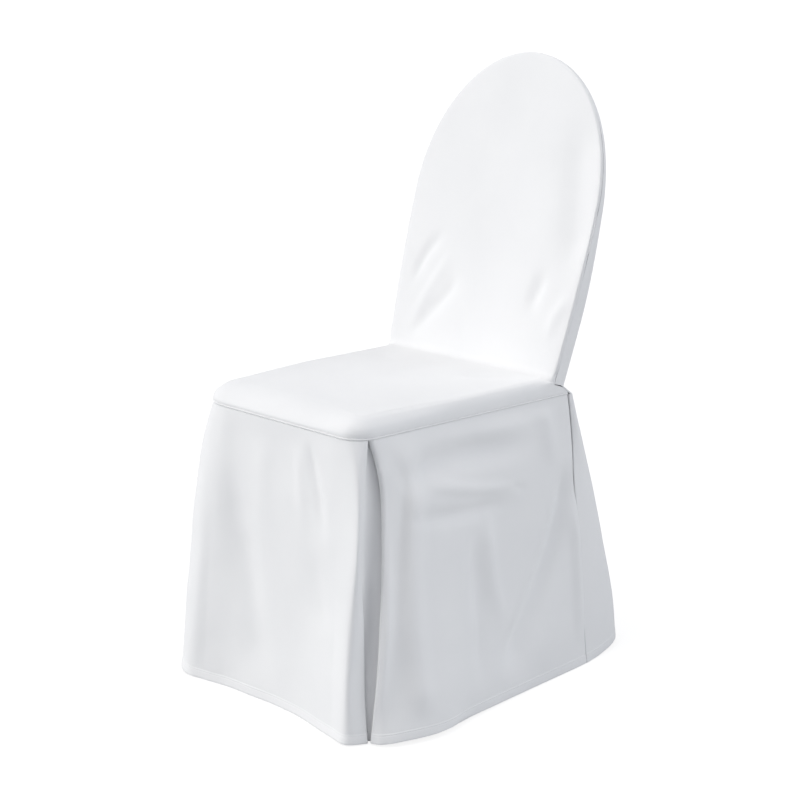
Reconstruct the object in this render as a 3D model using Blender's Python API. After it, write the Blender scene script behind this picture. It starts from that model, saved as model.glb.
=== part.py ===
"""Fitted chair cover with a round back, in white cloth.

The cover hangs in the shape that it takes in use: the seat and inside back in
one cloth, the outside back in one cloth that runs down into the rear skirt, a
front and two side skirts, and four inverted corner pleats, each with its own
underlay. A thin piping lies in the seat seam. Metres, +Z up, the front faces -Y.
"""

import bpy
import bmesh
import numpy as np

# Cloth and sewing
CLOTH = 0.002                # thickness of each sheet
SEAM_GAP = 0.0003            # space between two sewn pieces
PIPING_RADIUS = 0.002        # welt in the seat seam
FOLD_RADIUS = 0.0025         # outer radius where a pleat edge turns back
RETURN_WIDTH = 0.032         # cloth turned back behind a pleat edge
RETURN_DEPTH = 0.0068        # how far the turned cloth lies inside its panel
UNDERLAY_SPACE = (0.0008, 0.0025)   # underlay behind the turned cloth, at the seam and lower

# Seat
SEAM_HEIGHT = 0.435          # seat seam above the floor
SEAT_HEIGHT = 0.463          # seat top above the floor
SEAT_CROWN = 0.004           # the seat swells this much in the middle
SEAT_FRONT = -0.205          # front face of the seat
SEAT_REAR = 0.2385           # rear face of the cover at the seat seam
SEAT_HALF_FRONT = 0.1785     # half width at the front
SEAT_HALF_REAR = 0.1830      # half width at the rear
CORNER_RIGHT = 0.038         # plan radius of the right front corner
CORNER_LEFT = 0.055          # the left front corner is rounder
SHOULDER = 0.016             # the seat's edge rounds in by this much
CREASE = 0.010               # soft bend where seat and inside back meet
# How soft the seat's edge is: places along the seam, and the share of softness there
SOFT_PLACES = (-0.36, -0.20, -0.16, -0.09, 0.08, 0.14, 0.20, 0.36)
SOFT_SHARES = (0.0, 0.0, 0.05, 1.0, 1.0, 0.15, 0.0, 0.0)

# Back, measured on its front face, which leans back
BACK_FOOT = (0.190, 0.455)   # y and z where the front face begins
BACK_LEAN = np.radians(16.5)
BACK_LENGTH = 0.5025         # from the foot to the top of the arch
ARCH_START = 0.268           # the arch begins this far up
BACK_HALF_FOOT = 0.1826
BACK_HALF_WIDE = 0.1959      # half width where the arch begins
ARCH_POWER = 2.00            # 2 would be an ellipse
EDGE_ROLL = 0.0050           # the front face rolls over its edge
ARCH_SEAM = 0.0058           # the arch seam lies this far behind the front face
STRIP_LIFT = 0.0008          # the outside back ends just above the seat's side
BACK_DEEP_FOOT = 0.032       # thickness at the foot
BACK_DEEP_TOP = 0.017        # thickness at the arch
THIN_FROM = 0.100            # the back grows thinner between these two heights
THIN_BY = 0.360
BACK_EDGE = 0.008            # radius of the rear edge
STRIP_TURN = 0.0025          # flat width before the rear edge rounds
WAIST_CORNER = 0.0116        # length of the rounded corner at the waist, over the rear skirt
BACK_SWELL = 0.007           # the rear face swells this much in the middle
INSIDE_FOOT = 0.0183         # the inside back's first flat row above the foot
TAB_FOOT = 0.0095            # a row halfway between the foot and that one
TAB_RISE = (0.0055, 0.0100)  # heights of the seat's side tab over the seam panel's edge

# Skirt
SKIRT_LENGTH = 0.4355        # cut length, seam to hem
HEM_LIFT = 0.75              # share of the lift that a swung-out hem keeps
PIPING_RISE = PIPING_RADIUS * np.cos(np.pi / 6)      # the welt is six sided
PANEL_BOTTOM = SEAM_HEIGHT + PIPING_RISE + SEAM_GAP
SKIRT_TOP = SEAM_HEIGHT - PIPING_RISE - SEAM_GAP - 0.0005
REAR_FOLD = 0.2320           # y of the rear skirt's pleat edge at the seam
CENTRE = (0.0037, 0.0692)    # plan centre of the whole cover

# Levels at which a pleat edge is measured, as shares of the way down the skirt
LEVELS = (0.0, 0.12, 0.35, 0.60, 0.80, 1.0)

# How far a fold has swung out at each level: share of its flare at the hem
HANGS = {
    "even": (0.0, 0.13, 0.37, 0.62, 0.81, 1.0),
    "full": (0.0, 0.20, 0.46, 0.69, 0.86, 1.0),
    "early": (0.0, 0.27, 0.53, 0.74, 0.88, 1.0),
    "rear": (0.0, 0.16, 0.44, 0.71, 0.89, 1.0),
}

# Folds of each skirt, counterclockwise seen from above
# name, place along the seat seam from the front middle, hem x, hem y, hang
FRONT_FOLDS = (
    ("left_pleat_edge", -0.1830, -0.2320, -0.2000, "early"),
    ("left_corner", -0.1700, -0.2120, -0.2235, "early"),
    ("left_ridge", -0.1500, -0.1800, -0.2390, "full"),
    ("left_slope", -0.1220, -0.1420, -0.2335, "full"),
    ("left_hollow", -0.0850, -0.0950, -0.2245, "even"),
    ("middle_left", -0.0350, -0.0400, -0.2215, "even"),
    ("middle_right", 0.0200, 0.0180, -0.2210, "even"),
    ("right_hollow", 0.0700, 0.0720, -0.2250, "even"),
    ("right_slope", 0.1080, 0.1160, -0.2325, "even"),
    ("right_ridge_foot", 0.1360, 0.1560, -0.2400, "even"),
)
SIDE_FOLDS = (
    ("front_slope", 0.2900, 0.2575, -0.1050, "full"),
    ("front_hollow", 0.3500, 0.2475, -0.0350, "full"),
    ("middle", 0.4150, 0.2380, 0.0400, "even"),
    ("rear_hollow", 0.4750, 0.2300, 0.1100, "even"),
    ("rear_slope", 0.5350, 0.2240, 0.1780, "even"),
    ("rear_pleat_turn", 0.5700, 0.2195, 0.2200, "even"),
)
LEFT_FOLDS = (
    ("rear_pleat_turn", -0.5700, -0.2150, 0.2180, "even"),
    ("rear_slope", -0.5350, -0.2180, 0.1750, "even"),
    ("rear_hollow", -0.4750, -0.2235, 0.1120, "even"),
    ("middle", -0.4150, -0.2330, 0.0450, "even"),
    ("front_hollow", -0.3500, -0.2410, -0.0300, "even"),
    ("front_slope", -0.2900, -0.2485, -0.0950, "full"),
    ("front_swell", -0.2400, -0.2500, -0.1450, "full"),
    ("front_ridge", -0.2080, -0.2465, -0.1780, "early"),
    ("front_pleat_edge", -0.1915, -0.2385, -0.1925, "early"),
)
# name, seam x, seam y, hem x, hem y, hang
REAR_FOLDS = (
    ("right_side", 0.1826, 0.2355, 0.2080, 0.2890, "rear"),
    ("right_corner", 0.1785, SEAT_REAR, 0.1930, 0.3400, "rear"),
    ("right_turn", 0.1560, SEAT_REAR, 0.1620, 0.3690, "rear"),
    ("right_hollow", 0.1050, SEAT_REAR, 0.1080, 0.3810, "rear"),
    ("middle_right", 0.0500, SEAT_REAR, 0.0500, 0.3860, "rear"),
    ("middle", 0.0000, SEAT_REAR, -0.0020, 0.3850, "rear"),
    ("middle_left", -0.0500, SEAT_REAR, -0.0540, 0.3855, "rear"),
    ("left_hollow", -0.1050, SEAT_REAR, -0.1100, 0.3800, "rear"),
    ("left_turn", -0.1560, SEAT_REAR, -0.1630, 0.3670, "rear"),
    ("left_corner", -0.1785, SEAT_REAR, -0.1925, 0.3370, "rear"),
    ("left_side", -0.1826, 0.2355, -0.2060, 0.2870, "rear"),
)
# The open front right pleat, whose edges swing apart: name, then plan x, y at each level
FRONT_RIGHT_CORNER = (
    ("ridge", (0.1630, -0.1980), (0.1775, -0.2080), (0.1915, -0.2235),
     (0.1905, -0.2345), (0.1935, -0.2440), (0.1977, -0.2453)),
    ("wrap", (0.1710, -0.1900), (0.1815, -0.2035), (0.1945, -0.2193),
     (0.1955, -0.2265), (0.1985, -0.2340), (0.2060, -0.2340)),
    ("pleat_edge", (0.1748, -0.1840), (0.1840, -0.1970), (0.1950, -0.2143),
     (0.1965, -0.2125), (0.2020, -0.2160), (0.2122, -0.2212)),
)
SIDE_FRONT_CORNER = (
    ("pleat_edge", (0.1780, -0.1762), (0.1856, -0.1663), (0.2000, -0.1744),
     (0.2141, -0.1945), (0.2198, -0.2062), (0.2177, -0.2182)),
    ("roll", (0.1785, -0.1710), (0.1890, -0.1575), (0.2035, -0.1675),
     (0.2185, -0.1875), (0.2255, -0.1985), (0.2290, -0.2153)),
    ("crest", (0.1789, -0.1580), (0.1920, -0.1390), (0.2065, -0.1530),
     (0.2225, -0.1720), (0.2310, -0.1840), (0.2405, -0.2057)),
    ("fall", (0.1791, -0.1350), (0.1985, -0.1225), (0.2140, -0.1370),
     (0.2290, -0.1553), (0.2385, -0.1643), (0.2500, -0.1873)),
)
# The rear pleats open a little at the top: name, then plan x, y at each level, on the right
SIDE_REAR_EDGE = (
    ("pleat_edge", (0.1828, 0.2240), (0.1868, 0.2285), (0.1945, 0.2315),
     (0.2035, 0.2350), (0.2100, 0.2385), (0.2160, 0.2425)),
)
REAR_SIDE_EDGE = (
    ("pleat_edge", (0.1830, REAR_FOLD), (0.1850, 0.2372), (0.1942, 0.2374),
     (0.2031, 0.2410), (0.2096, 0.2448), (0.2157, 0.2491)),
)

# How deep each underlay lies behind its pleat at each level
UNDERLAY_DEPTH = (0.009, 0.012, 0.015, 0.019, 0.024, 0.030)

# Main folds of the skirts' cloth: name, start, middle, end, half width at start and end,
# rise (a hollow has a negative one), faded share at start and end. Places are x or y
# across the cloth and height above the floor.
FRONT_CREASES = (
    ("short_hollow", (0.083, 0.427), (0.102, 0.352), (0.129, 0.27), (0.01, 0.014), -0.0035, (0.35, 0.45)),
    ("left_hollow", (-0.103, 0.362), (-0.06, 0.194), (-0.043, 0.009), (0.028, 0.034), -0.0065, (0.3, 0.2)),
)
SIDE_CREASES = (
    ("seam_hollow", (-0.142, 0.356), (-0.038, 0.383), (0.17, 0.372), (0.02, 0.016), -0.0085, (0.15, 0.3)),
    ("front_crest", (-0.122, 0.305), (-0.138, 0.173), (-0.148, 0.052), (0.016, 0.02), 0.005, (0.3, 0.3)),
    ("middle_hollow", (-0.011, 0.289), (-0.009, 0.154), (-0.026, 0.038), (0.016, 0.02), -0.0055, (0.3, 0.3)),
    ("long_hollow", (0.215, 0.33), (0.158, 0.189), (0.029, 0.044), (0.016, 0.022), -0.009, (0.25, 0.2)),
    ("rear_crest", (0.224, 0.284), (0.226, 0.157), (0.224, 0.028), (0.012, 0.014), 0.005, (0.3, 0.3)),
)
CREASE_FADE = 0.030          # no crease this close under the seam

# Squares in each cloth
ACROSS_SEAT = 12
ALONG_SEAT = 8
BACK_SIDE_STEPS = 4
BACK_ARCH_STEPS = 18
ACROSS_BACK = ACROSS_SEAT + 2
DOWN_SKIRT = 11
STEPS = 3                    # squares between two neighbouring folds
ROW_CROWDING = 1.3           # above 1, the skirt's rows lie closer towards the seam

WHITE_CLOTH = (0.89, 0.90, 0.91, 1.0)


def clear_scene():
    """Start from nothing."""
    for item in list(bpy.data.objects):
        bpy.data.objects.remove(item, do_unlink=True)


def smooth_through(keys, points, at):
    """Points of a smooth curve through the given ones."""
    keys = np.asarray(keys, dtype=float)
    points = np.asarray(points, dtype=float)
    at = np.atleast_1d(at)
    slopes = np.gradient(points, keys, axis=0)
    i = np.clip(np.searchsorted(keys, at, side="right") - 1, 0, len(keys) - 2)
    step = (keys[i + 1] - keys[i])[:, None]
    s = (at - keys[i])[:, None] / step
    rise = s * s * (3.0 - 2.0 * s)
    leave = s * (1.0 - s) ** 2 * step
    arrive = s * s * (s - 1.0) * step
    return points[i] * (1.0 - rise) + points[i + 1] * rise + slopes[i] * leave + slopes[i + 1] * arrive


def seat_seam(place, inset=0.0):
    """Plan point of the seat seam and its outward direction.

    The place is measured along the seam from the front middle, + to the right.
    """
    side = 1.0 if place >= 0.0 else -1.0
    radius = CORNER_RIGHT if place >= 0.0 else CORNER_LEFT
    distance = abs(place)
    straight = SEAT_HALF_FRONT - radius
    turn = min(max((distance - straight) / radius, 0.0), np.pi / 2)
    outward = np.array((side * np.sin(turn), -np.cos(turn)))
    point = np.array((side * min(distance, straight), SEAT_FRONT + radius)) + outward * radius
    beyond = distance - straight - radius * np.pi / 2
    if beyond > 0.0:
        run = SEAT_REAR - SEAT_FRONT - radius
        point[0] += side * (SEAT_HALF_REAR - SEAT_HALF_FRONT) * beyond / run
        point[1] += beyond
    return point - outward * inset, outward


def seam_place_at(y, side):
    """Place along the seat seam of a point on the seat's side, by its y."""
    radius = CORNER_RIGHT if side > 0 else CORNER_LEFT
    straight = SEAT_HALF_FRONT - radius
    return side * (straight + radius * np.pi / 2 + y - SEAT_FRONT - radius)


def hem_height(seam, hem):
    """A skirt of one length lifts its hem as it swings out."""
    flare = np.linalg.norm(np.asarray(hem) - np.asarray(seam))
    return HEM_LIFT * (SEAM_HEIGHT - np.sqrt(SKIRT_LENGTH ** 2 - flare ** 2))


def fold_line(levels_xy):
    """Smooth line of one fold: x, y, z at each of the levels."""
    levels_xy = np.asarray(levels_xy, dtype=float)
    foot = hem_height(levels_xy[0], levels_xy[-1])
    heights = SKIRT_TOP + (max(foot, 0.0004) - SKIRT_TOP) * np.asarray(LEVELS)
    return np.column_stack((levels_xy, heights))


def hanging_fold(seam, hem, hang):
    """Line of a fold that swings from its seam point to its hem point."""
    seam = np.asarray(seam, dtype=float)
    hem = np.asarray(hem, dtype=float)
    share = np.asarray(HANGS[hang])[:, None]
    return fold_line(seam + (hem - seam) * share)


def other_side(lines):
    """Fold lines of the opposite corner, in reverse order."""
    return [line * (-1.0, 1.0, 1.0) for line in reversed(lines)]


def seam_folds(table):
    """Fold lines of a table whose folds start along the seat seam."""
    lines = []
    for name, place, hem_x, hem_y, hang in table:
        seam, outward = seat_seam(place)
        lines.append(hanging_fold(seam, (hem_x, hem_y), hang))
    return lines


def corner_folds(table):
    """Fold lines of a corner that is measured at every level."""
    return [fold_line(levels_xy) for name, *levels_xy in table]


def panel_section(lines, level, steps=STEPS):
    """One horizontal row of a skirt panel, smooth through all its folds."""
    lines = np.asarray(lines)
    spans = np.linalg.norm(np.diff(lines[:, [0, -1]], axis=0), axis=2).mean(axis=1)
    keys = np.concatenate(([0.0], np.cumsum(spans)))
    crossing = np.array([smooth_through(LEVELS, line, level)[0] for line in lines])
    at = np.concatenate([np.linspace(a, b, steps, endpoint=False) for a, b in zip(keys, keys[1:])])
    return smooth_through(keys, crossing, np.append(at, keys[-1]))


def smooth_step(share):
    """Soft rise from 0 to 1."""
    share = np.clip(share, 0.0, 1.0)
    return share * share * (3.0 - 2.0 * share)


def crease_lift(creases, across, up):
    """Rise of the cloth at each place of a row from its soft ridges and hollows."""
    lift = np.zeros(np.shape(across))
    for name, start, middle, end, (wide, wide_end), rise, (fade, fade_end) in creases:
        share = np.linspace(0.0, 1.0, 25)[:, None]
        bend_point = 2.0 * np.array(middle) - 0.5 * (np.array(start) + np.array(end))
        path = ((1 - share) ** 2 * np.array(start) + 2 * share * (1 - share) * bend_point
                + share ** 2 * np.array(end))
        away = np.hypot(across[:, None] - path[:, 0], up[:, None] - path[:, 1])
        along = np.argmin(away, axis=1) / (len(path) - 1)
        half = wide + (wide_end - wide) * along
        ends = smooth_step(along / fade) * smooth_step((1.0 - along) / fade_end)
        lift += rise * ends * np.exp(-(away.min(axis=1) / half) ** 2)
    return lift


def panel_row(panel, level):
    """One row of a panel with its creases: the panel is its fold lines, which of x and y
    runs across it, and its creases."""
    lines, across, creases = panel
    row = panel_section(lines, level)
    lift = crease_lift(creases, row[:, across], row[:, 2])
    lift *= smooth_step(level * SKIRT_TOP / CREASE_FADE)
    way = np.gradient(row, axis=0)
    outward = np.column_stack((way[:, 1], -way[:, 0], np.zeros(len(row))))
    return row + outward / np.linalg.norm(outward, axis=1)[:, None] * lift[:, None]


def outward_of(direction):
    """Outward side of a plan direction that runs counterclockwise."""
    return np.array((direction[1], -direction[0], 0.0))


def plan_direction(start, end):
    """Unit direction from one point to another, seen from above."""
    way = np.array((end[0] - start[0], end[1] - start[1], 0.0))
    return way / np.linalg.norm(way)


def turned_edge(section):
    """The turn at the end of a row and the cloth folded back behind it."""
    end = section[-1]
    forward = plan_direction(section[-2], end)
    outward = outward_of(forward)
    middle = end - outward * FOLD_RADIUS
    turn = [middle + FOLD_RADIUS * (outward * np.cos(a) + forward * np.sin(a))
            for a in np.radians((45, 90, 135, 180))]
    travelled = np.cumsum(np.linalg.norm(np.diff(section[::-1], axis=0), axis=1))
    back = int(np.searchsorted(travelled, RETURN_WIDTH)) + 1
    share = (RETURN_WIDTH - travelled[back - 2]) / (travelled[back - 1] - travelled[back - 2])
    anchor = section[-back] + (section[-back - 1] - section[-back]) * share
    inward = -outward_of(plan_direction(section[-back - 1], section[-back]))
    far = anchor + inward * RETURN_DEPTH
    far[2] = anchor[2]
    laid = [turn[-1] + (far - turn[-1]) * s for s in (0.33, 0.67, 1.0)]
    return turn + laid


def mirrored(points):
    """The same points on the other side of the middle, in reverse order."""
    return [point * (-1.0, 1.0, 1.0) for point in reversed(points)]


def with_turned_edges(section):
    """A row with both its ends turned back behind it."""
    end = turned_edge(section)
    start = turned_edge(np.array(mirrored(section)))
    return np.array(mirrored(start) + list(section) + end)


def skirt_rows(panel, levels):
    """Rows of a skirt panel from its hem to its top."""
    return np.array([with_turned_edges(panel_row(panel, level)) for level in levels])


def underlay_section(before, after, level):
    """Row of an underlay, from behind one panel's end to behind the next's start."""
    first = panel_row(before, level)
    second = panel_row(after, level)
    turned_first = np.array(turned_edge(first))[3:]
    turned_second = np.array(mirrored(turned_edge(np.array(mirrored(second)))))[:4]
    space = UNDERLAY_SPACE[0] + (UNDERLAY_SPACE[1] - UNDERLAY_SPACE[0]) * min(level * 8.0, 1.0)
    away = -outward_of(plan_direction(turned_first[-1], turned_first[0])) * space
    start = [turned_first[-1] + away, turned_first[1] + away]
    away = -outward_of(plan_direction(turned_second[-1], turned_second[0])) * space
    finish = [turned_second[2] + away, turned_second[0] + away]
    across = plan_direction(start[1], finish[0])
    depth = smooth_through(LEVELS, np.array(UNDERLAY_DEPTH)[:, None], level)[0][0]
    middle = (first[-1] + second[0]) / 2 - outward_of(across) * depth
    lead_in = plan_direction(start[0], start[1])
    lead_out = plan_direction(finish[0], finish[1])
    row = [start[0], (start[0] + start[1]) / 2]
    row += list(bend(start[1], lead_in, middle, across, 4))
    row += list(bend(middle, across, finish[0], lead_out, 4))
    row += [finish[0], (finish[0] + finish[1]) / 2, finish[1]]
    return np.array(row)


def bend(start, leaving, end, arriving, count):
    """Smooth run between two points with given directions, without its end."""
    reach = np.linalg.norm(end - start)
    s = np.linspace(0.0, 1.0, count, endpoint=False)[:, None]
    rise = s * s * (3.0 - 2.0 * s)
    return (start * (1.0 - rise) + end * rise
            + leaving * reach * s * (1.0 - s) ** 2 + arriving * reach * s * s * (s - 1.0))


def back_point(x, up, depth):
    """Point of the leaning back: across, up its front face, and behind that face."""
    lean, rise = np.sin(BACK_LEAN), np.cos(BACK_LEAN)
    y = BACK_FOOT[0] + up * lean + depth * rise
    z = BACK_FOOT[1] + up * rise - depth * lean
    return np.array((x, y, z))


def back_depth(up):
    """Thickness of the back, less towards the arch."""
    share = min(max((up - THIN_FROM) / (THIN_BY - THIN_FROM), 0.0), 1.0)
    share = share * share * (3.0 - 2.0 * share)
    return BACK_DEEP_FOOT + (BACK_DEEP_TOP - BACK_DEEP_FOOT) * share


def arch_outline(inset, side_steps, arch_steps, foot=0.0):
    """Outline of the back from the left foot over the arch to the right foot."""
    half_foot, half_wide = BACK_HALF_FOOT - inset, BACK_HALF_WIDE - inset
    length = BACK_LENGTH - inset
    right = []
    for k in range(side_steps):
        up = foot + (ARCH_START - foot) * k / side_steps
        right.append((half_foot + (half_wide - half_foot) * np.sin(np.pi / 2 * up / ARCH_START), up))
    for k in range(arch_steps // 2):
        a = np.pi * k / arch_steps
        right.append((half_wide * np.cos(a) ** (2 / ARCH_POWER),
                      ARCH_START + (length - ARCH_START) * np.sin(a) ** (2 / ARCH_POWER)))
    left = [(-x, up) for x, up in right]
    return left + [(0.0, length)] + right[::-1]


def filled_patch(left, right, bottom, top):
    """Rows of points between four edges that meet at their corners."""
    rows, columns = len(left) - 1, len(bottom) - 1
    patch = np.zeros((rows + 1, columns + 1, 3))
    for j in range(rows + 1):
        v = j / rows
        for i in range(columns + 1):
            u = np.linalg.norm(bottom[i] - bottom[0]) / np.linalg.norm(bottom[-1] - bottom[0])
            sides = left[j] * (1 - u) + right[j] * u
            ends = bottom[i] * (1 - v) + top[i] * v
            corners = ((bottom[0] * (1 - u) + bottom[-1] * u) * (1 - v)
                       + (top[0] * (1 - u) + top[-1] * u) * v)
            patch[j, i] = sides + ends - corners
    patch[:, 0], patch[:, -1], patch[0], patch[-1] = left, right, bottom, top
    return patch


def seat_ring():
    """Places along the seat seam for the left side, the front and the right side."""
    left_rear = seam_place_at(BACK_FOOT[0] - CREASE, -1)
    right_rear = seam_place_at(BACK_FOOT[0] - CREASE, 1)
    left_corner = -(SEAT_HALF_FRONT - CORNER_LEFT * (1 - np.pi / 4))
    right_corner = SEAT_HALF_FRONT - CORNER_RIGHT * (1 - np.pi / 4)
    left = corner_spread(left_rear, left_corner, ALONG_SEAT, False, True)
    front = corner_spread(left_corner, right_corner, ACROSS_SEAT, True, True)
    right = corner_spread(right_corner, right_rear, ALONG_SEAT, True, False)
    return np.concatenate((left, front[1:-1], right))


def corner_spread(start, end, steps, dense_start, dense_end):
    """Places from start to end, closer together at the rounded corners."""
    s = np.linspace(0.0, 1.0, steps + 1)
    if dense_start and dense_end:
        s = s - 0.8 * np.sin(2 * np.pi * s) / (2 * np.pi)
    elif dense_end:
        s = s + 0.55 * np.sin(np.pi * s) / np.pi
    elif dense_start:
        s = s - 0.55 * np.sin(np.pi * s) / np.pi
    return start + (end - start) * s


def seat_top_height(x, y):
    """Seat top with its soft crown."""
    half = SEAT_HALF_FRONT - SHOULDER
    across = max(1.0 - (x / half) ** 2, 0.0)
    deep = max(1.0 - ((y - 0.010) / 0.170) ** 2, 0.0)
    return SEAT_HEIGHT + SEAT_CROWN * across * deep


# Rows down the seat's edge, firm at the sides and soft at the front:
# distance in from the seam, then drop below the seat top
FIRM_EDGE = ((SHOULDER, 0.0), (0.0062, 0.0018), (0.0024, 0.0058), (0.0012, 0.0088),
             (0.0005, 0.0125), (0.0, 0.0190), (0.0, SEAT_HEIGHT - PANEL_BOTTOM))
SOFT_EDGE = ((0.0450, 0.0), (0.0290, 0.0030), (0.0170, 0.0075), (0.0085, 0.0125),
             (0.0030, 0.0175), (0.0, 0.0225), (0.0, SEAT_HEIGHT - PANEL_BOTTOM))


def edge_column(place):
    """Points down the seat's edge at one place along the seam."""
    soft = smooth_through(SOFT_PLACES, np.array(SOFT_SHARES)[:, None], place)[0][0]
    soft = min(max(soft, 0.0), 1.0)
    column = []
    for firm_row, soft_row in zip(FIRM_EDGE, SOFT_EDGE):
        inset, drop = np.array(firm_row) * (1.0 - soft) + np.array(soft_row) * soft
        plan, outward = seat_seam(place, inset)
        column.append(np.array((plan[0], plan[1], SEAT_HEIGHT - drop)))
    return column


def rear_edge_column(side):
    """The last column of the seat's edge, which meets the foot of the back."""
    column = edge_column(seam_place_at(BACK_FOOT[0] - CREASE, side))
    foot = back_point(side * BACK_HALF_FOOT, 0.0, ARCH_SEAM)
    column[2] = np.array((side * (BACK_HALF_FOOT - 0.0014), foot[1] - 0.0066, SEAT_HEIGHT - 0.0048))
    column[3] = np.array((side * (BACK_HALF_FOOT - 0.0004), foot[1] - 0.0034, SEAT_HEIGHT - 0.0070))
    column[4] = foot
    column[5] = np.array((side * BACK_HALF_FOOT, foot[1], foot[2] - 0.0080))
    column[6] = np.array((side * BACK_HALF_FOOT, foot[1], PANEL_BOTTOM))
    return column


def seat_and_inside_back_patches():
    """One cloth over the seat, down its edge, and up the front of the back."""
    places = seat_ring()
    columns = [edge_column(place) for place in places]
    columns[0] = rear_edge_column(-1)
    columns[-1] = rear_edge_column(1)
    edge = np.array(columns).transpose(1, 0, 2)[::-1]
    rim = edge[-1]
    left = rim[:ALONG_SEAT + 1][::-1]
    right = rim[ALONG_SEAT + ACROSS_SEAT:]
    front = rim[ALONG_SEAT:ALONG_SEAT + ACROSS_SEAT + 1]
    share = (front[:, 0] - front[0, 0]) / (front[-1, 0] - front[0, 0])
    rear = np.array([left[-1] * (1 - s) + right[-1] * s for s in share])
    top = filled_patch(left, right, front, rear)
    for row in top:
        for point in row[1:-1]:
            point[2] = seat_top_height(point[0], point[1])
    for point in top[0]:
        point[2] = SEAT_HEIGHT
    for point in top[-1]:
        point[2] = SEAT_HEIGHT

    first = edge_column(seam_place_at(BACK_FOOT[0] - CREASE, -1))[1]
    last = edge_column(seam_place_at(BACK_FOOT[0] - CREASE, 1))[1]
    crease = np.vstack((first, top[-1], last))
    outline = arch_outline(EDGE_ROLL, BACK_SIDE_STEPS, BACK_ARCH_STEPS, foot=INSIDE_FOOT)
    sides = (len(outline) - 1 - ACROSS_BACK) // 2
    flat = np.array([back_point(x, up, 0.0) for x, up in outline])
    left_side = np.vstack((crease[0], flat[:sides + 1]))
    right_side = np.vstack((crease[-1], flat[::-1][:sides + 1]))
    inside = filled_patch(left_side, right_side, crease, flat[sides:sides + ACROSS_BACK + 1])
    for i in range(1, ACROSS_BACK):
        foot_x = inside[1, i, 0]
        inside[1, i] = back_point(foot_x, INSIDE_FOOT, 0.0)
    bend_row = inside[0] * 0.25 + inside[1] * 0.25
    corner = inside[0].copy()
    corner[:, 1] = BACK_FOOT[0] + (SEAT_HEIGHT - BACK_FOOT[1]) * np.tan(BACK_LEAN)
    bend_row = bend_row + corner * 0.5
    inside = np.concatenate((inside[:1], bend_row[None], inside[1:]))

    ring = np.vstack((inside[:-1, 0], inside[-1], inside[:-1, -1][::-1]))
    outer = arch_outline(0.0, BACK_SIDE_STEPS, BACK_ARCH_STEPS, foot=INSIDE_FOOT)
    outer = [(-BACK_HALF_FOOT, 0.0), (-BACK_HALF_FOOT, TAB_FOOT)] + outer
    outer = outer + [(BACK_HALF_FOOT, TAB_FOOT), (BACK_HALF_FOOT, 0.0)]
    lip = np.array([back_point(x, up, ARCH_SEAM) for x, up in outer])
    edge_line = np.array([back_point(x, up, EDGE_ROLL * 0.7) for x, up in outer])
    halfway = np.array([back_point(x, up, EDGE_ROLL * 0.2) for x, up in outer])
    halfway = halfway + (ring - halfway) * 0.3
    halfway[0], halfway[-1] = edge[4, 0], edge[4, -1]
    edge_line[0], edge_line[-1] = edge[3, 0], edge[3, -1]
    lip[0], lip[-1] = edge[2, 0], edge[2, -1]
    roll = np.array((ring, halfway, edge_line, lip))
    return [edge, top, inside, roll, side_tab(edge, -1), side_tab(edge, 1)]


def waist_edge(height):
    """y of the outside back's front edge, between the strip's foot and the seat seam."""
    foot = strip_foot()
    share = (foot[2] - height) / (foot[2] - SKIRT_TOP)
    return foot[1] + (REAR_FOLD - foot[1]) * share


def strip_foot():
    """Where the strip's lower edge turns down towards the rear skirt."""
    return back_point(BACK_HALF_FOOT, STRIP_LIFT, back_depth(0.0) - BACK_EDGE - STRIP_TURN)


def side_tab(edge, side):
    """The seat's side cloth behind the foot of the inside back, as far as the outside back."""
    column = edge[:3, 0] if side < 0 else edge[:3, -1]
    tab = []
    for share in (0.0, 0.5, 1.0):
        row = []
        for start, rise in zip(column, (0.0,) + TAB_RISE):
            height = PANEL_BOTTOM + rise
            rear = np.array((side * SEAT_HALF_REAR, waist_edge(height) - 3 * SEAM_GAP, height))
            row.append(start + (rear - start) * share)
        tab.append(row)
    tab = np.array(tab).transpose(1, 0, 2)
    return tab[:, ::-1] if side < 0 else tab


# Rows of the side strip from the arch seam round to the rear face:
# distance in from the outline, share of the back's thickness, and how far behind that
STRIP_ROWS = (
    (0.0, 0.0, ARCH_SEAM + SEAM_GAP),
    (0.0, 0.5, (ARCH_SEAM - BACK_EDGE - STRIP_TURN) / 2),
    (0.0, 1.0, -BACK_EDGE - STRIP_TURN),
    (0.0, 1.0, -BACK_EDGE),
    (BACK_EDGE * 0.3, 1.0, -BACK_EDGE * 0.3),
    (BACK_EDGE, 1.0, 0.0),
)


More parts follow.
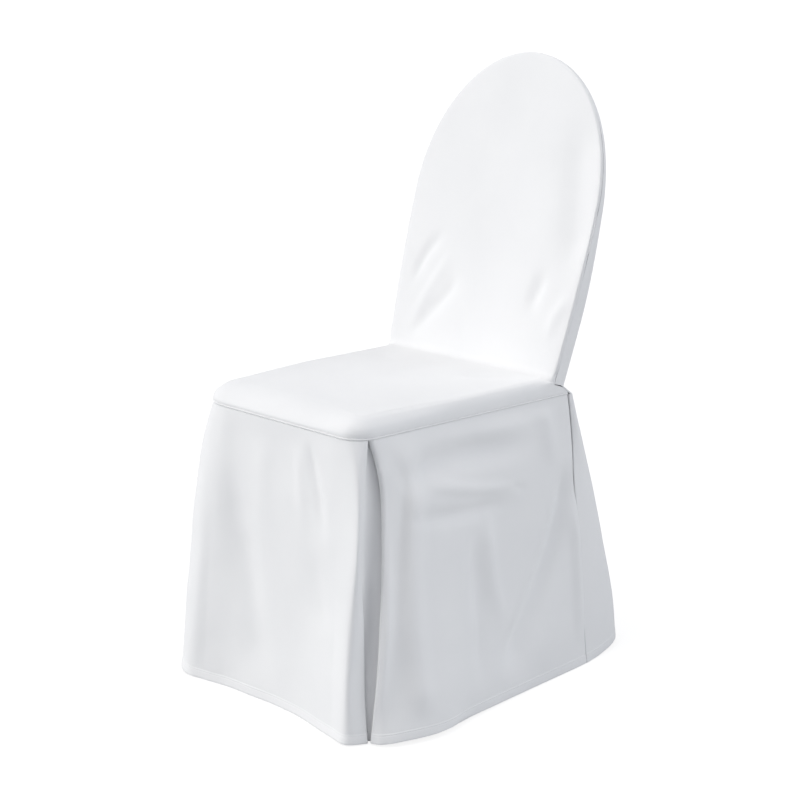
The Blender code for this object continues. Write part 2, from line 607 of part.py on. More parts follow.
def outside_back_patches(lines, levels):
    """One cloth from the arch seam round the back's edge and down to the rear hem."""
    sides = (2 * BACK_SIDE_STEPS + BACK_ARCH_STEPS - ACROSS_BACK) // 2
    strip = []
    for inset, share, behind in STRIP_ROWS:
        ring = arch_outline(inset, BACK_SIDE_STEPS, BACK_ARCH_STEPS, foot=STRIP_LIFT)
        strip.append([back_point(x, up, share * back_depth(up) + behind) for x, up in ring])
    strip = np.array(strip)
    rim = strip[-1]
    foot_left, foot_right = rim[0], rim[-1]
    shares = np.linspace(0.0, 1.0, ACROSS_BACK + 1)
    foot = np.array([foot_right * (1 - s) + foot_left * s for s in shares])
    arch = rim[::-1][sides:sides + ACROSS_BACK + 1]
    rear = filled_patch(rim[::-1][:sides + 1], rim[:sides + 1], foot, arch)
    rows, columns = rear.shape[0] - 1, rear.shape[1] - 1
    swell = back_point(0.0, 0.0, BACK_SWELL) - back_point(0.0, 0.0, 0.0)
    for j in range(1, rows):
        for i in range(1, columns):
            share = (np.sin(np.pi * i / columns) * np.sin(np.pi * (j / rows) ** 0.8)) ** 0.6
            rear[j, i] += swell * share

    skirt = np.array([with_turned_edges(rear_section(lines, level)) for level in levels])
    waist_low = skirt[-1][7:-7]
    waist_high = np.vstack((strip[2:5, -1], foot, strip[2:5, 0][::-1]))
    waist = np.array([waist_low, waist_low * 0.5 + waist_high * 0.5, waist_high])
    return [strip, rear, waist, skirt]


def rear_section(lines, level):
    """One row of the rear skirt, with a column for each column of the back above it."""
    fine = panel_section(lines, level, steps=8)
    keys = np.linspace(0.0, 1.0, len(fine))
    seam = panel_section(lines, 0.0, steps=8)
    travelled = np.concatenate(([0.0], np.cumsum(np.linalg.norm(np.diff(seam, axis=0), axis=1))))
    inner = np.linspace(WAIST_CORNER, travelled[-1] - WAIST_CORNER, ACROSS_BACK + 1)
    first = np.array((0.0, 0.25, 0.6)) * WAIST_CORNER
    wanted = np.concatenate((first, inner, travelled[-1] - first[::-1]))
    at = np.interp(wanted, travelled, keys)
    return np.column_stack([np.interp(at, keys, fine[:, k]) for k in range(3)])


def lay_patch(mesh, points):
    """Lay a flat grid of squares on the given rows of points."""
    rows, columns = len(points) - 1, len(points[0]) - 1
    made = bmesh.ops.create_grid(mesh, x_segments=columns, y_segments=rows, size=0.5)
    for vert in made["verts"]:
        i = round((vert.co.x + 0.5) * columns)
        j = round((vert.co.y + 0.5) * rows)
        vert.co = points[j][i]


def make_cloth(name, patches, material, parent):
    """Join patches of one cloth along their edges and give it its thickness."""
    mesh = bmesh.new()
    for points in patches:
        lay_patch(mesh, points)
    bmesh.ops.remove_doubles(mesh, verts=mesh.verts, dist=0.00002)
    data = bpy.data.meshes.new(name)
    mesh.to_mesh(data)
    mesh.free()
    data.shade_smooth()
    data.materials.append(material)
    cloth = bpy.data.objects.new(name, data)
    cloth.parent = parent
    bpy.context.collection.objects.link(cloth)
    thickness = cloth.modifiers.new("thickness", "SOLIDIFY")
    thickness.thickness = CLOTH
    thickness.offset = -1.0
    return cloth


def make_piping(material, parent):
    """Round welt along the seat seam, from one rear corner to the other."""
    last = seam_place_at(waist_edge(PANEL_BOTTOM) - 0.0014, 1)
    first = seam_place_at(waist_edge(PANEL_BOTTOM) - 0.0014, -1)
    places = np.concatenate(([first], seat_ring(), [last]))
    halves = np.linspace(0, len(places) - 1, 2 * len(places) - 1)
    fine = np.interp(halves, np.arange(len(places)), places)
    curve = bpy.data.curves.new("seat_piping", "CURVE")
    curve.dimensions = "3D"
    curve.bevel_depth = PIPING_RADIUS
    curve.bevel_resolution = 1
    curve.use_fill_caps = True
    spline = curve.splines.new("POLY")
    spline.points.add(len(fine) - 1)
    for point, place in zip(spline.points, fine):
        plan, outward = seat_seam(place, 0.0005)
        point.co = (plan[0], plan[1], SEAM_HEIGHT, 1.0)
    curve.materials.append(material)
    piping = bpy.data.objects.new("seat_piping", curve)
    piping.parent = parent
    bpy.context.collection.objects.link(piping)
    return piping


def cloth_material(name, roughness):
    """White cloth."""
    material = bpy.data.materials.new(name)
    material.use_nodes = True
    shader = material.node_tree.nodes["Principled BSDF"]
    shader.inputs["Base Color"].default_value = WHITE_CLOTH
    shader.inputs["Roughness"].default_value = roughness
    shader.inputs["Metallic"].default_value = 0.0
    return material


def build():
    """Make every piece of the cover on one empty that centres it."""
    clear_scene()
    holder = bpy.data.objects.new("chair_cover", None)
    holder.location = (-CENTRE[0], -CENTRE[1], 0.0)
    bpy.context.collection.objects.link(holder)

    front = seam_folds(FRONT_FOLDS) + corner_folds(FRONT_RIGHT_CORNER)
    right = corner_folds(SIDE_FRONT_CORNER) + seam_folds(SIDE_FOLDS) + corner_folds(SIDE_REAR_EDGE)
    left = other_side(corner_folds(SIDE_REAR_EDGE)) + seam_folds(LEFT_FOLDS)
    rear = corner_folds(REAR_SIDE_EDGE)
    rear += [hanging_fold((sx, sy), (hx, hy), hang) for name, sx, sy, hx, hy, hang in REAR_FOLDS]
    rear += other_side(corner_folds(REAR_SIDE_EDGE))
    levels = np.linspace(1.0, 0.0, DOWN_SKIRT + 1) ** ROW_CROWDING

    seat_cloth = cloth_material("seat_cloth", 0.85)
    make_cloth("seat_and_inside_back", seat_and_inside_back_patches(), seat_cloth, holder)
    back_cloth = cloth_material("outside_back_cloth", 0.85)
    make_cloth("outside_back", outside_back_patches(rear, levels), back_cloth, holder)
    front, right = (front, 0, FRONT_CREASES), (right, 1, SIDE_CREASES)
    left, rear = (left, 1, ()), (rear, 0, ())
    for name, panel in (("skirt_front", front), ("skirt_right", right), ("skirt_left", left)):
        skirt_cloth = cloth_material(name + "_cloth", 0.85)
        make_cloth(name, [skirt_rows(panel, levels)], skirt_cloth, holder)
    pleats = (("pleat_front_right", front, right), ("pleat_rear_right", right, rear),
              ("pleat_rear_left", rear, left), ("pleat_front_left", left, front))
    for name, before, after in pleats:
        rows = np.array([underlay_section(before, after, level) for level in levels])
        pleat_cloth = cloth_material(name + "_cloth", 0.88)
        make_cloth(name, [rows], pleat_cloth, holder)
    make_piping(cloth_material("piping_cloth", 0.75), holder)


build()
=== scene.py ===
"""Looks of the fitted chair cover, in white woven cloth.

Each cloth is laid again as a thin fine sheet on the folds of its solid, with its
soft creases, hems, stitching, welt and weave. Metres, +Z up, the front faces -Y.
"""

import bpy
import numpy as np
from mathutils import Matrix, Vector, noise


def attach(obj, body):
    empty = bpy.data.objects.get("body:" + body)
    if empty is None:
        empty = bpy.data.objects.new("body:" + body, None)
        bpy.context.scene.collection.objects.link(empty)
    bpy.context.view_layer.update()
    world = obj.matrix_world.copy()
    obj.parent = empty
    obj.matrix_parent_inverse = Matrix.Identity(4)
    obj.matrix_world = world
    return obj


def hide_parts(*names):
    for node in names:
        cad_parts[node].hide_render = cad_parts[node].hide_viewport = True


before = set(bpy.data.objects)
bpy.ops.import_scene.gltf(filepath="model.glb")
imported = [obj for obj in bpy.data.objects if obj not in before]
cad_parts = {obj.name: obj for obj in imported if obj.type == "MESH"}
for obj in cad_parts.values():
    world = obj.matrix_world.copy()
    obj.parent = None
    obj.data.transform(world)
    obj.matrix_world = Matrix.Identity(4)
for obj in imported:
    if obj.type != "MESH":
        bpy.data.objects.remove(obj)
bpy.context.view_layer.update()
bpy.ops.object.select_all(action="DESELECT")

# Cloth and sewing
CLOTH = 0.0012               # thickness of the fine sheets
SEAM_GAP = 0.0003            # space between two sewn pieces
WELT_RADIUS = 0.002          # covered cord in the seat seam
RETURN_WIDTH = 0.032         # cloth turned back behind a pleat edge
RETURN_DEPTH = 0.0068        # how far the turned cloth lies inside its panel
EDGE_REACH = 0.006           # length over which a row's end gives its direction
ANCHOR_REACH = 0.008         # the same on each side of the turned cloth's far edge
TUCK = 0.33                  # an underlay reaches behind this share of the turned cloth
UNDERLAY_SPACE = (0.0008, 0.0025)   # underlay behind the turned cloth, at the seam and lower
HEM_DEPTH = 0.0140           # height of the folded hem
HEM_RISE = 0.0006            # the folded hem stands proud by this much
HEM_STITCH = 0.0120          # stitch row above the hem's edge
HEM_FLARE = 0.0012           # the front skirt's stiff hem swings out by this much
STITCH_LENGTH = 0.0032
THREAD_WIDTH = 0.0005
ALLOWANCE = 0.0050           # cloth turned in behind a seam
ALLOWANCE_BEND = 0.0012      # how far its far edge bends up or down
NEAR_SEAM = 0.4              # share of it that stays close to the seam
UNDERLAY_RISE = 0.0025       # an underlay's top edge rises behind the welt

# Seat
SEAM_HEIGHT = 0.435
SEAT_HEIGHT = 0.463
SEAT_CROWN = 0.004
SEAT_FRONT = -0.205
SEAT_REAR = 0.2385
SEAT_HALF_FRONT = 0.1785
SEAT_HALF_REAR = 0.1830
CORNER_RIGHT = 0.038
CORNER_LEFT = 0.055
SHOULDER = 0.016
CREASE = 0.010
# How soft the seat's edge is: places along the seam, and the share of softness there
SOFT_PLACES = (-0.36, -0.25, -0.10, 0.08, 0.165, 0.24, 0.36)
SOFT_SHARES = (0.0, 0.45, 1.0, 1.0, 0.40, 0.30, 0.0)

# Back, measured on its front face, which leans back
BACK_FOOT = (0.190, 0.455)
BACK_LEAN = np.radians(16.5)
BACK_LENGTH = 0.5025
ARCH_START = 0.268
BACK_HALF_FOOT = 0.1826
BACK_HALF_WIDE = 0.1959
EDGE_ROLL = 0.0050
ARCH_SEAM = 0.0058
STRIP_LIFT = 0.0008
BACK_DEEP_FOOT = 0.032
BACK_DEEP_TOP = 0.017
THIN_FROM = 0.100
THIN_BY = 0.360
BACK_EDGE = 0.008
STRIP_TURN = 0.0025
WAIST_CORNER = 0.0116
BACK_SWELL = 0.007
REAR_FROM = 0.010            # creases of the outside back start this far behind the face
INSIDE_FOOT = 0.0183
TAB_FOOT = 0.0095
TAB_RISE = (0.0, 0.0055, 0.0100)

# Skirt
SKIRT_LENGTH = 0.4355
HEM_LIFT = 0.75
WELT_RISE = WELT_RADIUS * np.cos(np.pi / 6)
PANEL_BOTTOM = SEAM_HEIGHT + WELT_RISE + SEAM_GAP
SKIRT_TOP = SEAM_HEIGHT - WELT_RISE - SEAM_GAP + 0.0001
REAR_FOLD = 0.2320
CENTRE = (0.0037, 0.0692)    # plan centre of the whole cover

# Levels at which a pleat edge is measured, as shares of the way down the skirt
LEVELS = (0.0, 0.12, 0.35, 0.60, 0.80, 1.0)

# How far a fold has swung out at each level: share of its flare at the hem
HANGS = {
    "even": (0.0, 0.13, 0.37, 0.62, 0.81, 1.0),
    "full": (0.0, 0.20, 0.46, 0.69, 0.86, 1.0),
    "early": (0.0, 0.27, 0.53, 0.74, 0.88, 1.0),
    "rear": (0.0, 0.16, 0.44, 0.71, 0.89, 1.0),
}

# Folds of each skirt, counterclockwise seen from above
# name, place along the seat seam from the front middle, hem x, hem y, hang
FRONT_FOLDS = (
    ("left_pleat_edge", -0.1830, -0.2320, -0.2000, "early"),
    ("left_corner", -0.1700, -0.2120, -0.2235, "early"),
    ("left_ridge", -0.1500, -0.1800, -0.2390, "full"),
    ("left_slope", -0.1220, -0.1420, -0.2335, "full"),
    ("left_hollow", -0.0850, -0.0950, -0.2245, "even"),
    ("middle_left", -0.0350, -0.0400, -0.2215, "even"),
    ("middle_right", 0.0200, 0.0180, -0.2210, "even"),
    ("right_hollow", 0.0700, 0.0720, -0.2250, "even"),
    ("right_slope", 0.1080, 0.1160, -0.2325, "even"),
    ("right_ridge_foot", 0.1360, 0.1560, -0.2400, "even"),
)
SIDE_FOLDS = (
    ("front_slope", 0.2900, 0.2575, -0.1050, "full"),
    ("front_hollow", 0.3500, 0.2475, -0.0350, "full"),
    ("middle", 0.4150, 0.2380, 0.0400, "even"),
    ("rear_hollow", 0.4750, 0.2300, 0.1100, "even"),
    ("rear_slope", 0.5350, 0.2240, 0.1780, "even"),
    ("rear_pleat_turn", 0.5700, 0.2195, 0.2200, "even"),
)
LEFT_FOLDS = (
    ("rear_pleat_turn", -0.5700, -0.2150, 0.2180, "even"),
    ("rear_slope", -0.5350, -0.2180, 0.1750, "even"),
    ("rear_hollow", -0.4750, -0.2235, 0.1120, "even"),
    ("middle", -0.4150, -0.2330, 0.0450, "even"),
    ("front_hollow", -0.3500, -0.2410, -0.0300, "even"),
    ("front_slope", -0.2900, -0.2485, -0.0950, "full"),
    ("front_swell", -0.2400, -0.2500, -0.1450, "full"),
    ("front_ridge", -0.2080, -0.2465, -0.1780, "early"),
    ("front_pleat_edge", -0.1915, -0.2385, -0.1925, "early"),
)
# name, seam x, seam y, hem x, hem y, hang
REAR_FOLDS = (
    ("right_side", 0.1826, 0.2355, 0.2080, 0.2890, "rear"),
    ("right_corner", 0.1785, SEAT_REAR, 0.1930, 0.3400, "rear"),
    ("right_turn", 0.1560, SEAT_REAR, 0.1620, 0.3690, "rear"),
    ("right_hollow", 0.1050, SEAT_REAR, 0.1080, 0.3810, "rear"),
    ("middle_right", 0.0500, SEAT_REAR, 0.0500, 0.3860, "rear"),
    ("middle", 0.0000, SEAT_REAR, -0.0020, 0.3850, "rear"),
    ("middle_left", -0.0500, SEAT_REAR, -0.0540, 0.3855, "rear"),
    ("left_hollow", -0.1050, SEAT_REAR, -0.1100, 0.3800, "rear"),
    ("left_turn", -0.1560, SEAT_REAR, -0.1630, 0.3670, "rear"),
    ("left_corner", -0.1785, SEAT_REAR, -0.1925, 0.3370, "rear"),
    ("left_side", -0.1826, 0.2355, -0.2060, 0.2870, "rear"),
)
# The open front right pleat, whose edges swing apart: name, then plan x, y at each level
FRONT_RIGHT_CORNER = (
    ("ridge", (0.1630, -0.1980), (0.1798, -0.2066), (0.1942, -0.2220),
     (0.1938, -0.2328), (0.1963, -0.2420), (0.1985, -0.2449)),
    ("wrap", (0.1710, -0.1900), (0.1828, -0.2022), (0.1963, -0.2180),
     (0.1978, -0.2245), (0.2003, -0.2327), (0.2063, -0.2338)),
    ("pleat_edge", (0.1748, -0.1840), (0.1840, -0.1970), (0.1950, -0.2143),
     (0.1965, -0.2125), (0.2020, -0.2160), (0.2122, -0.2212)),
)
SIDE_FRONT_CORNER = (
    ("pleat_edge", (0.1783, -0.1731), (0.1869, -0.1630), (0.2011, -0.1723),
     (0.2149, -0.1932), (0.2207, -0.2050), (0.2192, -0.2178)),
    ("roll", (0.1785, -0.1710), (0.1890, -0.1575), (0.2035, -0.1675),
     (0.2185, -0.1875), (0.2255, -0.1985), (0.2290, -0.2153)),
    ("crest", (0.1789, -0.1580), (0.1920, -0.1390), (0.2065, -0.1530),
     (0.2225, -0.1720), (0.2310, -0.1840), (0.2405, -0.2057)),
    ("fall", (0.1791, -0.1350), (0.1985, -0.1225), (0.2140, -0.1370),
     (0.2290, -0.1553), (0.2385, -0.1643), (0.2500, -0.1873)),
)
# The rear pleats open a little at the top: name, then plan x, y at each level, on the right
SIDE_REAR_EDGE = (
    ("pleat_edge", (0.1828, 0.2240), (0.1868, 0.2287), (0.1945, 0.2323),
     (0.2035, 0.2364), (0.2100, 0.2400), (0.2160, 0.2441)),
)
REAR_SIDE_EDGE = (
    ("pleat_edge", (0.1830, REAR_FOLD), (0.1850, 0.2370), (0.1942, 0.2367),
     (0.2033, 0.2396), (0.2098, 0.2433), (0.2158, 0.2475)),
)

# How round each pleat edge is at each level: half the depth of its fold
PLAIN_EDGE = (0.0025, 0.0025, 0.0025, 0.0025, 0.0025, 0.0025)
SIDE_FRONT_EDGE = (0.0058, 0.0058, 0.0044, 0.0040, 0.0038, 0.0036)
REAR_EDGES = (0.0025, 0.0025, 0.0018, 0.0014, 0.0014, 0.0014)

# How deep each underlay lies behind its pleat at each level
UNDERLAY_DEPTH = (0.010, 0.016, 0.020, 0.016, 0.012, 0.009)

# Soft creases of each cloth: a trough has a negative rise
# name, start, middle, end, half width at start and end, rise, faded share at start and end
# Places are x or y across the cloth and height above the floor
FRONT_CREASES = (
    ("short_hollow", (0.072, 0.427), (0.098, 0.351), (0.127, 0.27),
     (0.009, 0.012), -0.0042, (0.3, 0.45)),
    ("left_hollow", (-0.112, 0.361), (-0.056, 0.195), (-0.034, 0.011),
     (0.026, 0.034), -0.0065, (0.3, 0.2)),
    ("left_crest", (-0.146, 0.3), (-0.155, 0.15), (-0.156, 0.016),
     (0.014, 0.016), 0.0016, (0.35, 0.3)),
    ("short_crest", (0.05, 0.415), (0.062, 0.343), (0.074, 0.271),
     (0.01, 0.012), 0.0022, (0.35, 0.45)),
    ("left_swell", (-0.028, 0.415), (-0.026, 0.339), (-0.02, 0.249),
     (0.02, 0.02), 0.0022, (0.3, 0.4)),
    ("wide_hollow", (0.061, 0.298), (0.109, 0.206), (0.124, 0.135),
     (0.024, 0.02), -0.004, (0.4, 0.4)),
)
SIDE_CREASES = (
    ("seam_hollow", (-0.143, 0.354), (-0.038, 0.382), (0.17, 0.371),
     (0.022, 0.017), -0.0115, (0.32, 0.3)),
    ("front_crest", (-0.107, 0.391), (-0.141, 0.231), (-0.147, 0.027),
     (0.013, 0.018), 0.0070, (0.3, 0.1)),
    ("edge_curl", (-0.166, 0.41), (-0.177, 0.25), (-0.214, 0.02),
     (0.008, 0.005), 0.003, (0.1, 0.1)),
    ("upper_swell", (0.075, 0.43), (0.07, 0.35), (0.065, 0.26), (0.08, 0.07), 0.008, (0.02, 0.5)),
    ("low_swell", (-0.11, 0.13), (-0.118, 0.06), (-0.12, 0.005), (0.04, 0.045), 0.006, (0.5, 0.02)),
    ("middle_hollow", (-0.006, 0.288), (-0.006, 0.153), (-0.022, 0.029),
     (0.017, 0.021), -0.008, (0.3, 0.3)),
    ("long_hollow", (0.216, 0.336), (0.161, 0.188), (0.028, 0.037),
     (0.017, 0.024), -0.0135, (0.2, 0.15)),
    ("rear_crest", (0.229, 0.282), (0.231, 0.155), (0.23, 0.027),
     (0.012, 0.014), 0.0065, (0.3, 0.3)),
    ("plateau_ridge", (-0.108, 0.364), (-0.004, 0.333), (0.113, 0.316),
     (0.01, 0.008), 0.004, (0.35, 0.35)),
    ("band_hollow", (-0.154, 0.317), (-0.043, 0.303), (0.102, 0.294),
     (0.012, 0.009), -0.0065, (0.4, 0.35)),
    ("small_hollow", (0.083, 0.326), (0.099, 0.314), (0.121, 0.311),
     (0.005, 0.005), -0.002, (0.35, 0.35)),
    ("tongue_crest", (0.03, 0.301), (0.028, 0.205), (0.055, 0.091),
     (0.012, 0.015), 0.006, (0.3, 0.3)),
    ("rear_top_ridge", (0.164, 0.427), (0.177, 0.379), (0.182, 0.324),
     (0.016, 0.014), 0.004, (0.15, 0.4)),
)
LEFT_CREASES = (
    ("front_hollow", (-0.085, 0.400), (-0.095, 0.220), (-0.115, -0.020),
     (0.022, 0.036), -0.0055, (0.45, 0.02)),
    ("middle_crest", (0.000, 0.420), (-0.008, 0.220), (-0.025, -0.020),
     (0.026, 0.040), 0.0050, (0.5, 0.02)),
    ("rear_hollow", (0.120, 0.410), (0.095, 0.230), (0.055, -0.020),
     (0.026, 0.040), -0.0060, (0.45, 0.02)),
    ("rear_crest", (0.190, 0.380), (0.180, 0.210), (0.160, -0.010),
     (0.022, 0.030), 0.0035, (0.4, 0.05)),
    ("slack_hollow", (-0.110, 0.395), (-0.040, 0.372), (0.060, 0.385),
     (0.024, 0.022), -0.0030, (0.4, 0.4)),
)
REAR_CREASES = (
    ("right_hollow", (0.100, 0.400), (0.092, 0.210), (0.085, -0.020),
     (0.026, 0.040), -0.0055, (0.5, 0.02)),
    ("middle_crest", (0.030, 0.420), (0.020, 0.220), (0.010, -0.020),
     (0.026, 0.040), 0.0045, (0.5, 0.02)),
    ("left_hollow", (-0.060, 0.410), (-0.070, 0.220), (-0.085, -0.020),
     (0.026, 0.040), -0.0055, (0.5, 0.02)),
)
# On the back: x and how far up the back's face; on the seat: x and y
INSIDE_BACK_CREASES = (
    ("upper_left_hollow", (-0.102, 0.202), (-0.138, 0.165), (-0.156, 0.108),
     (0.010, 0.009), -0.0035, (0.3, 0.3)),
    ("lower_left_hollow", (-0.058, 0.137), (-0.086, 0.092), (-0.152, 0.017),
     (0.011, 0.009), -0.0040, (0.3, 0.3)),
    ("left_ridge", (-0.081, 0.167), (-0.107, 0.122), (-0.146, 0.042),
     (0.009, 0.009), 0.0025, (0.3, 0.3)),
    ("right_hollow", (0.127, 0.169), (0.112, 0.133), (0.107, 0.091),
     (0.013, 0.012), -0.0040, (0.35, 0.35)),
    ("right_ridge", (0.185, 0.134), (0.162, 0.104), (0.152, 0.056),
     (0.012, 0.012), 0.0028, (0.3, 0.3)),
    ("right_turn", (0.118, 0.418), (0.156, 0.282), (0.167, 0.159),
     (0.030, 0.025), -0.0050, (0.3, 0.3)),
)
OUTSIDE_BACK_CREASES = (
    ("upper_right_hollow", (0.110, 0.330), (0.140, 0.220), (0.150, 0.110),
     (0.022, 0.018), -0.0040, (0.3, 0.3)),
    ("lower_left_hollow", (-0.150, 0.060), (-0.090, 0.110), (-0.040, 0.190),
     (0.014, 0.016), -0.0045, (0.3, 0.4)),
    ("lower_right_hollow", (0.150, 0.040), (0.100, 0.080), (0.060, 0.150),
     (0.013, 0.014), -0.0040, (0.3, 0.4)),
    ("left_crest", (-0.120, 0.350), (-0.150, 0.240), (-0.155, 0.130),
     (0.018, 0.016), 0.0030, (0.3, 0.3)),
)
SEAT_CREASES = (
    ("rear_left_hollow", (-0.150, 0.150), (-0.100, 0.110), (-0.040, 0.090),
     (0.014, 0.016), -0.0020, (0.3, 0.4)),
    ("rear_right_hollow", (0.140, 0.155), (0.100, 0.120), (0.060, 0.070),
     (0.013, 0.015), -0.0018, (0.3, 0.4)),
    ("front_hollow", (-0.060, -0.130), (0.010, -0.120), (0.080, -0.135),
     (0.016, 0.018), -0.0015, (0.4, 0.4)),
)

# Squares in each cloth
PER_FOLD = 12                # between two neighbouring folds of a skirt
ALONG = 8                    # for each span of the seat's and back's outlines
EDGE = 4                     # for each span round a small edge
ACROSS_SEAT = 12 * ALONG
DEEP_SEAT = 8 * ALONG
BACK_SIDE_STEPS = 4 * ALONG
BACK_ARCH_STEPS = 18 * ALONG
ACROSS_BACK = ACROSS_SEAT + 2 * EDGE
TURN_STEPS = 8               # round a pleat edge
LAID_STEPS = 9               # along the turned cloth
TUCKED_STEPS = 6             # along an underlay's tucked edges
BEND_STEPS = 12              # on each side of an underlay's middle
CREASE_STEPS = 24            # along the line of a crease

# Heights of the rows above the hem's edge, then evenly up to the seam
HEM_ROWS = (0.0, 0.0006, 0.0014, 0.0028, 0.0052, 0.0078, 0.0098, 0.0108, 0.0114, 0.0120,
            0.0126, 0.0132, 0.0138, 0.0144, 0.0152, 0.0168, 0.0195, 0.0230)
ROW_STEP = 0.0047


def smooth_step(share):
    """Soft rise from 0 to 1."""
    share = np.clip(share, 0.0, 1.0)
    return share * share * (3.0 - 2.0 * share)


def smooth_through(keys, points, at):
    """Points of a smooth curve through the given ones."""
    keys = np.asarray(keys, dtype=float)
    points = np.asarray(points, dtype=float)
    at = np.atleast_1d(at)
    slopes = np.gradient(points, keys, axis=0)
    i = np.clip(np.searchsorted(keys, at, side="right") - 1, 0, len(keys) - 2)
    step = (keys[i + 1] - keys[i]).reshape((-1,) + (1,) * (points.ndim - 1))
    s = (at - keys[i]).reshape(step.shape) / step
    rise = s * s * (3.0 - 2.0 * s)
    leave = s * (1.0 - s) ** 2 * step
    arrive = s * s * (s - 1.0) * step
    straight = points[i] * (1.0 - rise) + points[i + 1] * rise
    return straight + slopes[i] * leave + slopes[i + 1] * arrive


def crease_lift(creases, across, up):
    """Rise of the cloth at each place from its soft ridges and troughs."""
    lift = np.zeros(np.shape(across))
    for name, start, middle, end, (wide, wide_end), rise, (fade, fade_end) in creases:
        share = np.linspace(0.0, 1.0, CREASE_STEPS + 1)[:, None]
        bend_point = 2.0 * np.array(middle) - 0.5 * (np.array(start) + np.array(end))
        path = ((1 - share) ** 2 * np.array(start) + 2 * share * (1 - share) * bend_point
                + share ** 2 * np.array(end))
        nearest = np.full(lift.shape, 9.0)
        along = np.zeros(lift.shape)
        for k in range(len(path) - 1):
            way = path[k + 1] - path[k]
            t = ((across - path[k, 0]) * way[0] + (up - path[k, 1]) * way[1]) / (way @ way)
            t = np.clip(t, 0.0, 1.0)
            away = np.hypot(across - path[k, 0] - t * way[0], up - path[k, 1] - t * way[1])
            closer = away < nearest
            nearest = np.where(closer, away, nearest)
            along = np.where(closer, (k + t) / (len(path) - 1), along)
        half = wide + (wide_end - wide) * along
        ends = smooth_step(along / fade) * smooth_step((1.0 - along) / fade_end)
        lift += rise * ends * np.exp(-(nearest / half) ** 2)
    return lift


def unevenness(points, size, rise):
    """Gentle rise and fall of cloth that is never quite flat."""
    flat = points.reshape(-1, 3) / size
    values = [noise.noise(Vector(place)) for place in flat]
    return rise * np.array(values).reshape(points.shape[:-1])


# Skirts

def seat_seam(place, inset=0.0):
    """Plan point and outward direction of the seat seam at a distance from the front middle."""
    side = 1.0 if place >= 0.0 else -1.0
    radius = CORNER_RIGHT if place >= 0.0 else CORNER_LEFT
    distance = abs(place)
    straight = SEAT_HALF_FRONT - radius
    turn = min(max((distance - straight) / radius, 0.0), np.pi / 2)
    outward = np.array((side * np.sin(turn), -np.cos(turn)))
    point = np.array((side * min(distance, straight), SEAT_FRONT + radius)) + outward * radius
    beyond = distance - straight - radius * np.pi / 2
    if beyond > 0.0:
        run = SEAT_REAR - SEAT_FRONT - radius
        point[0] += side * (SEAT_HALF_REAR - SEAT_HALF_FRONT) * beyond / run
        point[1] += beyond
    return point - outward * inset, outward


def seam_place_at(y, side):
    """Place along the seat seam of a point on the seat's side, by its y."""
    radius = CORNER_RIGHT if side > 0 else CORNER_LEFT
    straight = SEAT_HALF_FRONT - radius
    return side * (straight + radius * np.pi / 2 + y - SEAT_FRONT - radius)


def hem_height(seam, hem):
    """A skirt of one length lifts its hem as it swings out."""
    flare = np.linalg.norm(np.asarray(hem) - np.asarray(seam))
    return HEM_LIFT * (SEAM_HEIGHT - np.sqrt(SKIRT_LENGTH ** 2 - flare ** 2))


def fold_line(levels_xy):
    """Smooth line of one fold: x, y, z at each of the levels."""
    levels_xy = np.asarray(levels_xy, dtype=float)
    foot = hem_height(levels_xy[0], levels_xy[-1])
    heights = SKIRT_TOP + (max(foot, 0.0004) - SKIRT_TOP) * np.asarray(LEVELS)
    return np.column_stack((levels_xy, heights))


def hanging_fold(seam, hem, hang):
    """Line of a fold that swings from its seam point to its hem point."""
    seam = np.asarray(seam, dtype=float)
    hem = np.asarray(hem, dtype=float)
    share = np.asarray(HANGS[hang])[:, None]
    return fold_line(seam + (hem - seam) * share)


def other_side(lines):
    """Fold lines of the opposite corner, in reverse order."""
    return [line * (-1.0, 1.0, 1.0) for line in reversed(lines)]


def seam_folds(table):
    """Fold lines of a table whose folds start along the seat seam."""
    return [hanging_fold(seat_seam(place)[0], (hem_x, hem_y), hang)
            for name, place, hem_x, hem_y, hang in table]


def corner_folds(table):
    """Fold lines of a corner that is measured at every level."""
    return [fold_line(levels_xy) for name, *levels_xy in table]


def panel_section(lines, level, steps):
    """One horizontal row of a skirt panel, smooth through all its folds."""
    lines = np.asarray(lines)
    spans = np.linalg.norm(np.diff(lines[:, [0, -1]], axis=0), axis=2).mean(axis=1)
    keys = np.concatenate(([0.0], np.cumsum(spans)))
    crossing = np.array([smooth_through(LEVELS, line, level)[0] for line in lines])
    at = np.concatenate([np.linspace(a, b, steps, endpoint=False) for a, b in zip(keys, keys[1:])])
    return smooth_through(keys, crossing, np.append(at, keys[-1]))


def skirt_levels():
    """Levels of the rows from the hem to the seam."""
    rest = int(round((SKIRT_TOP - HEM_ROWS[-1]) / ROW_STEP))
    heights = list(HEM_ROWS[:-1]) + list(np.linspace(HEM_ROWS[-1], SKIRT_TOP, rest))
    return 1.0 - np.array(heights) / SKIRT_TOP


def outward_over(rows):
    """Outward direction, seen from above, at each place of rows that run counterclockwise."""
    way = np.gradient(rows, axis=1)
    outward = np.stack((way[..., 1], -way[..., 0], np.zeros(way.shape[:-1])), axis=-1)
    return outward / np.linalg.norm(outward, axis=-1, keepdims=True)


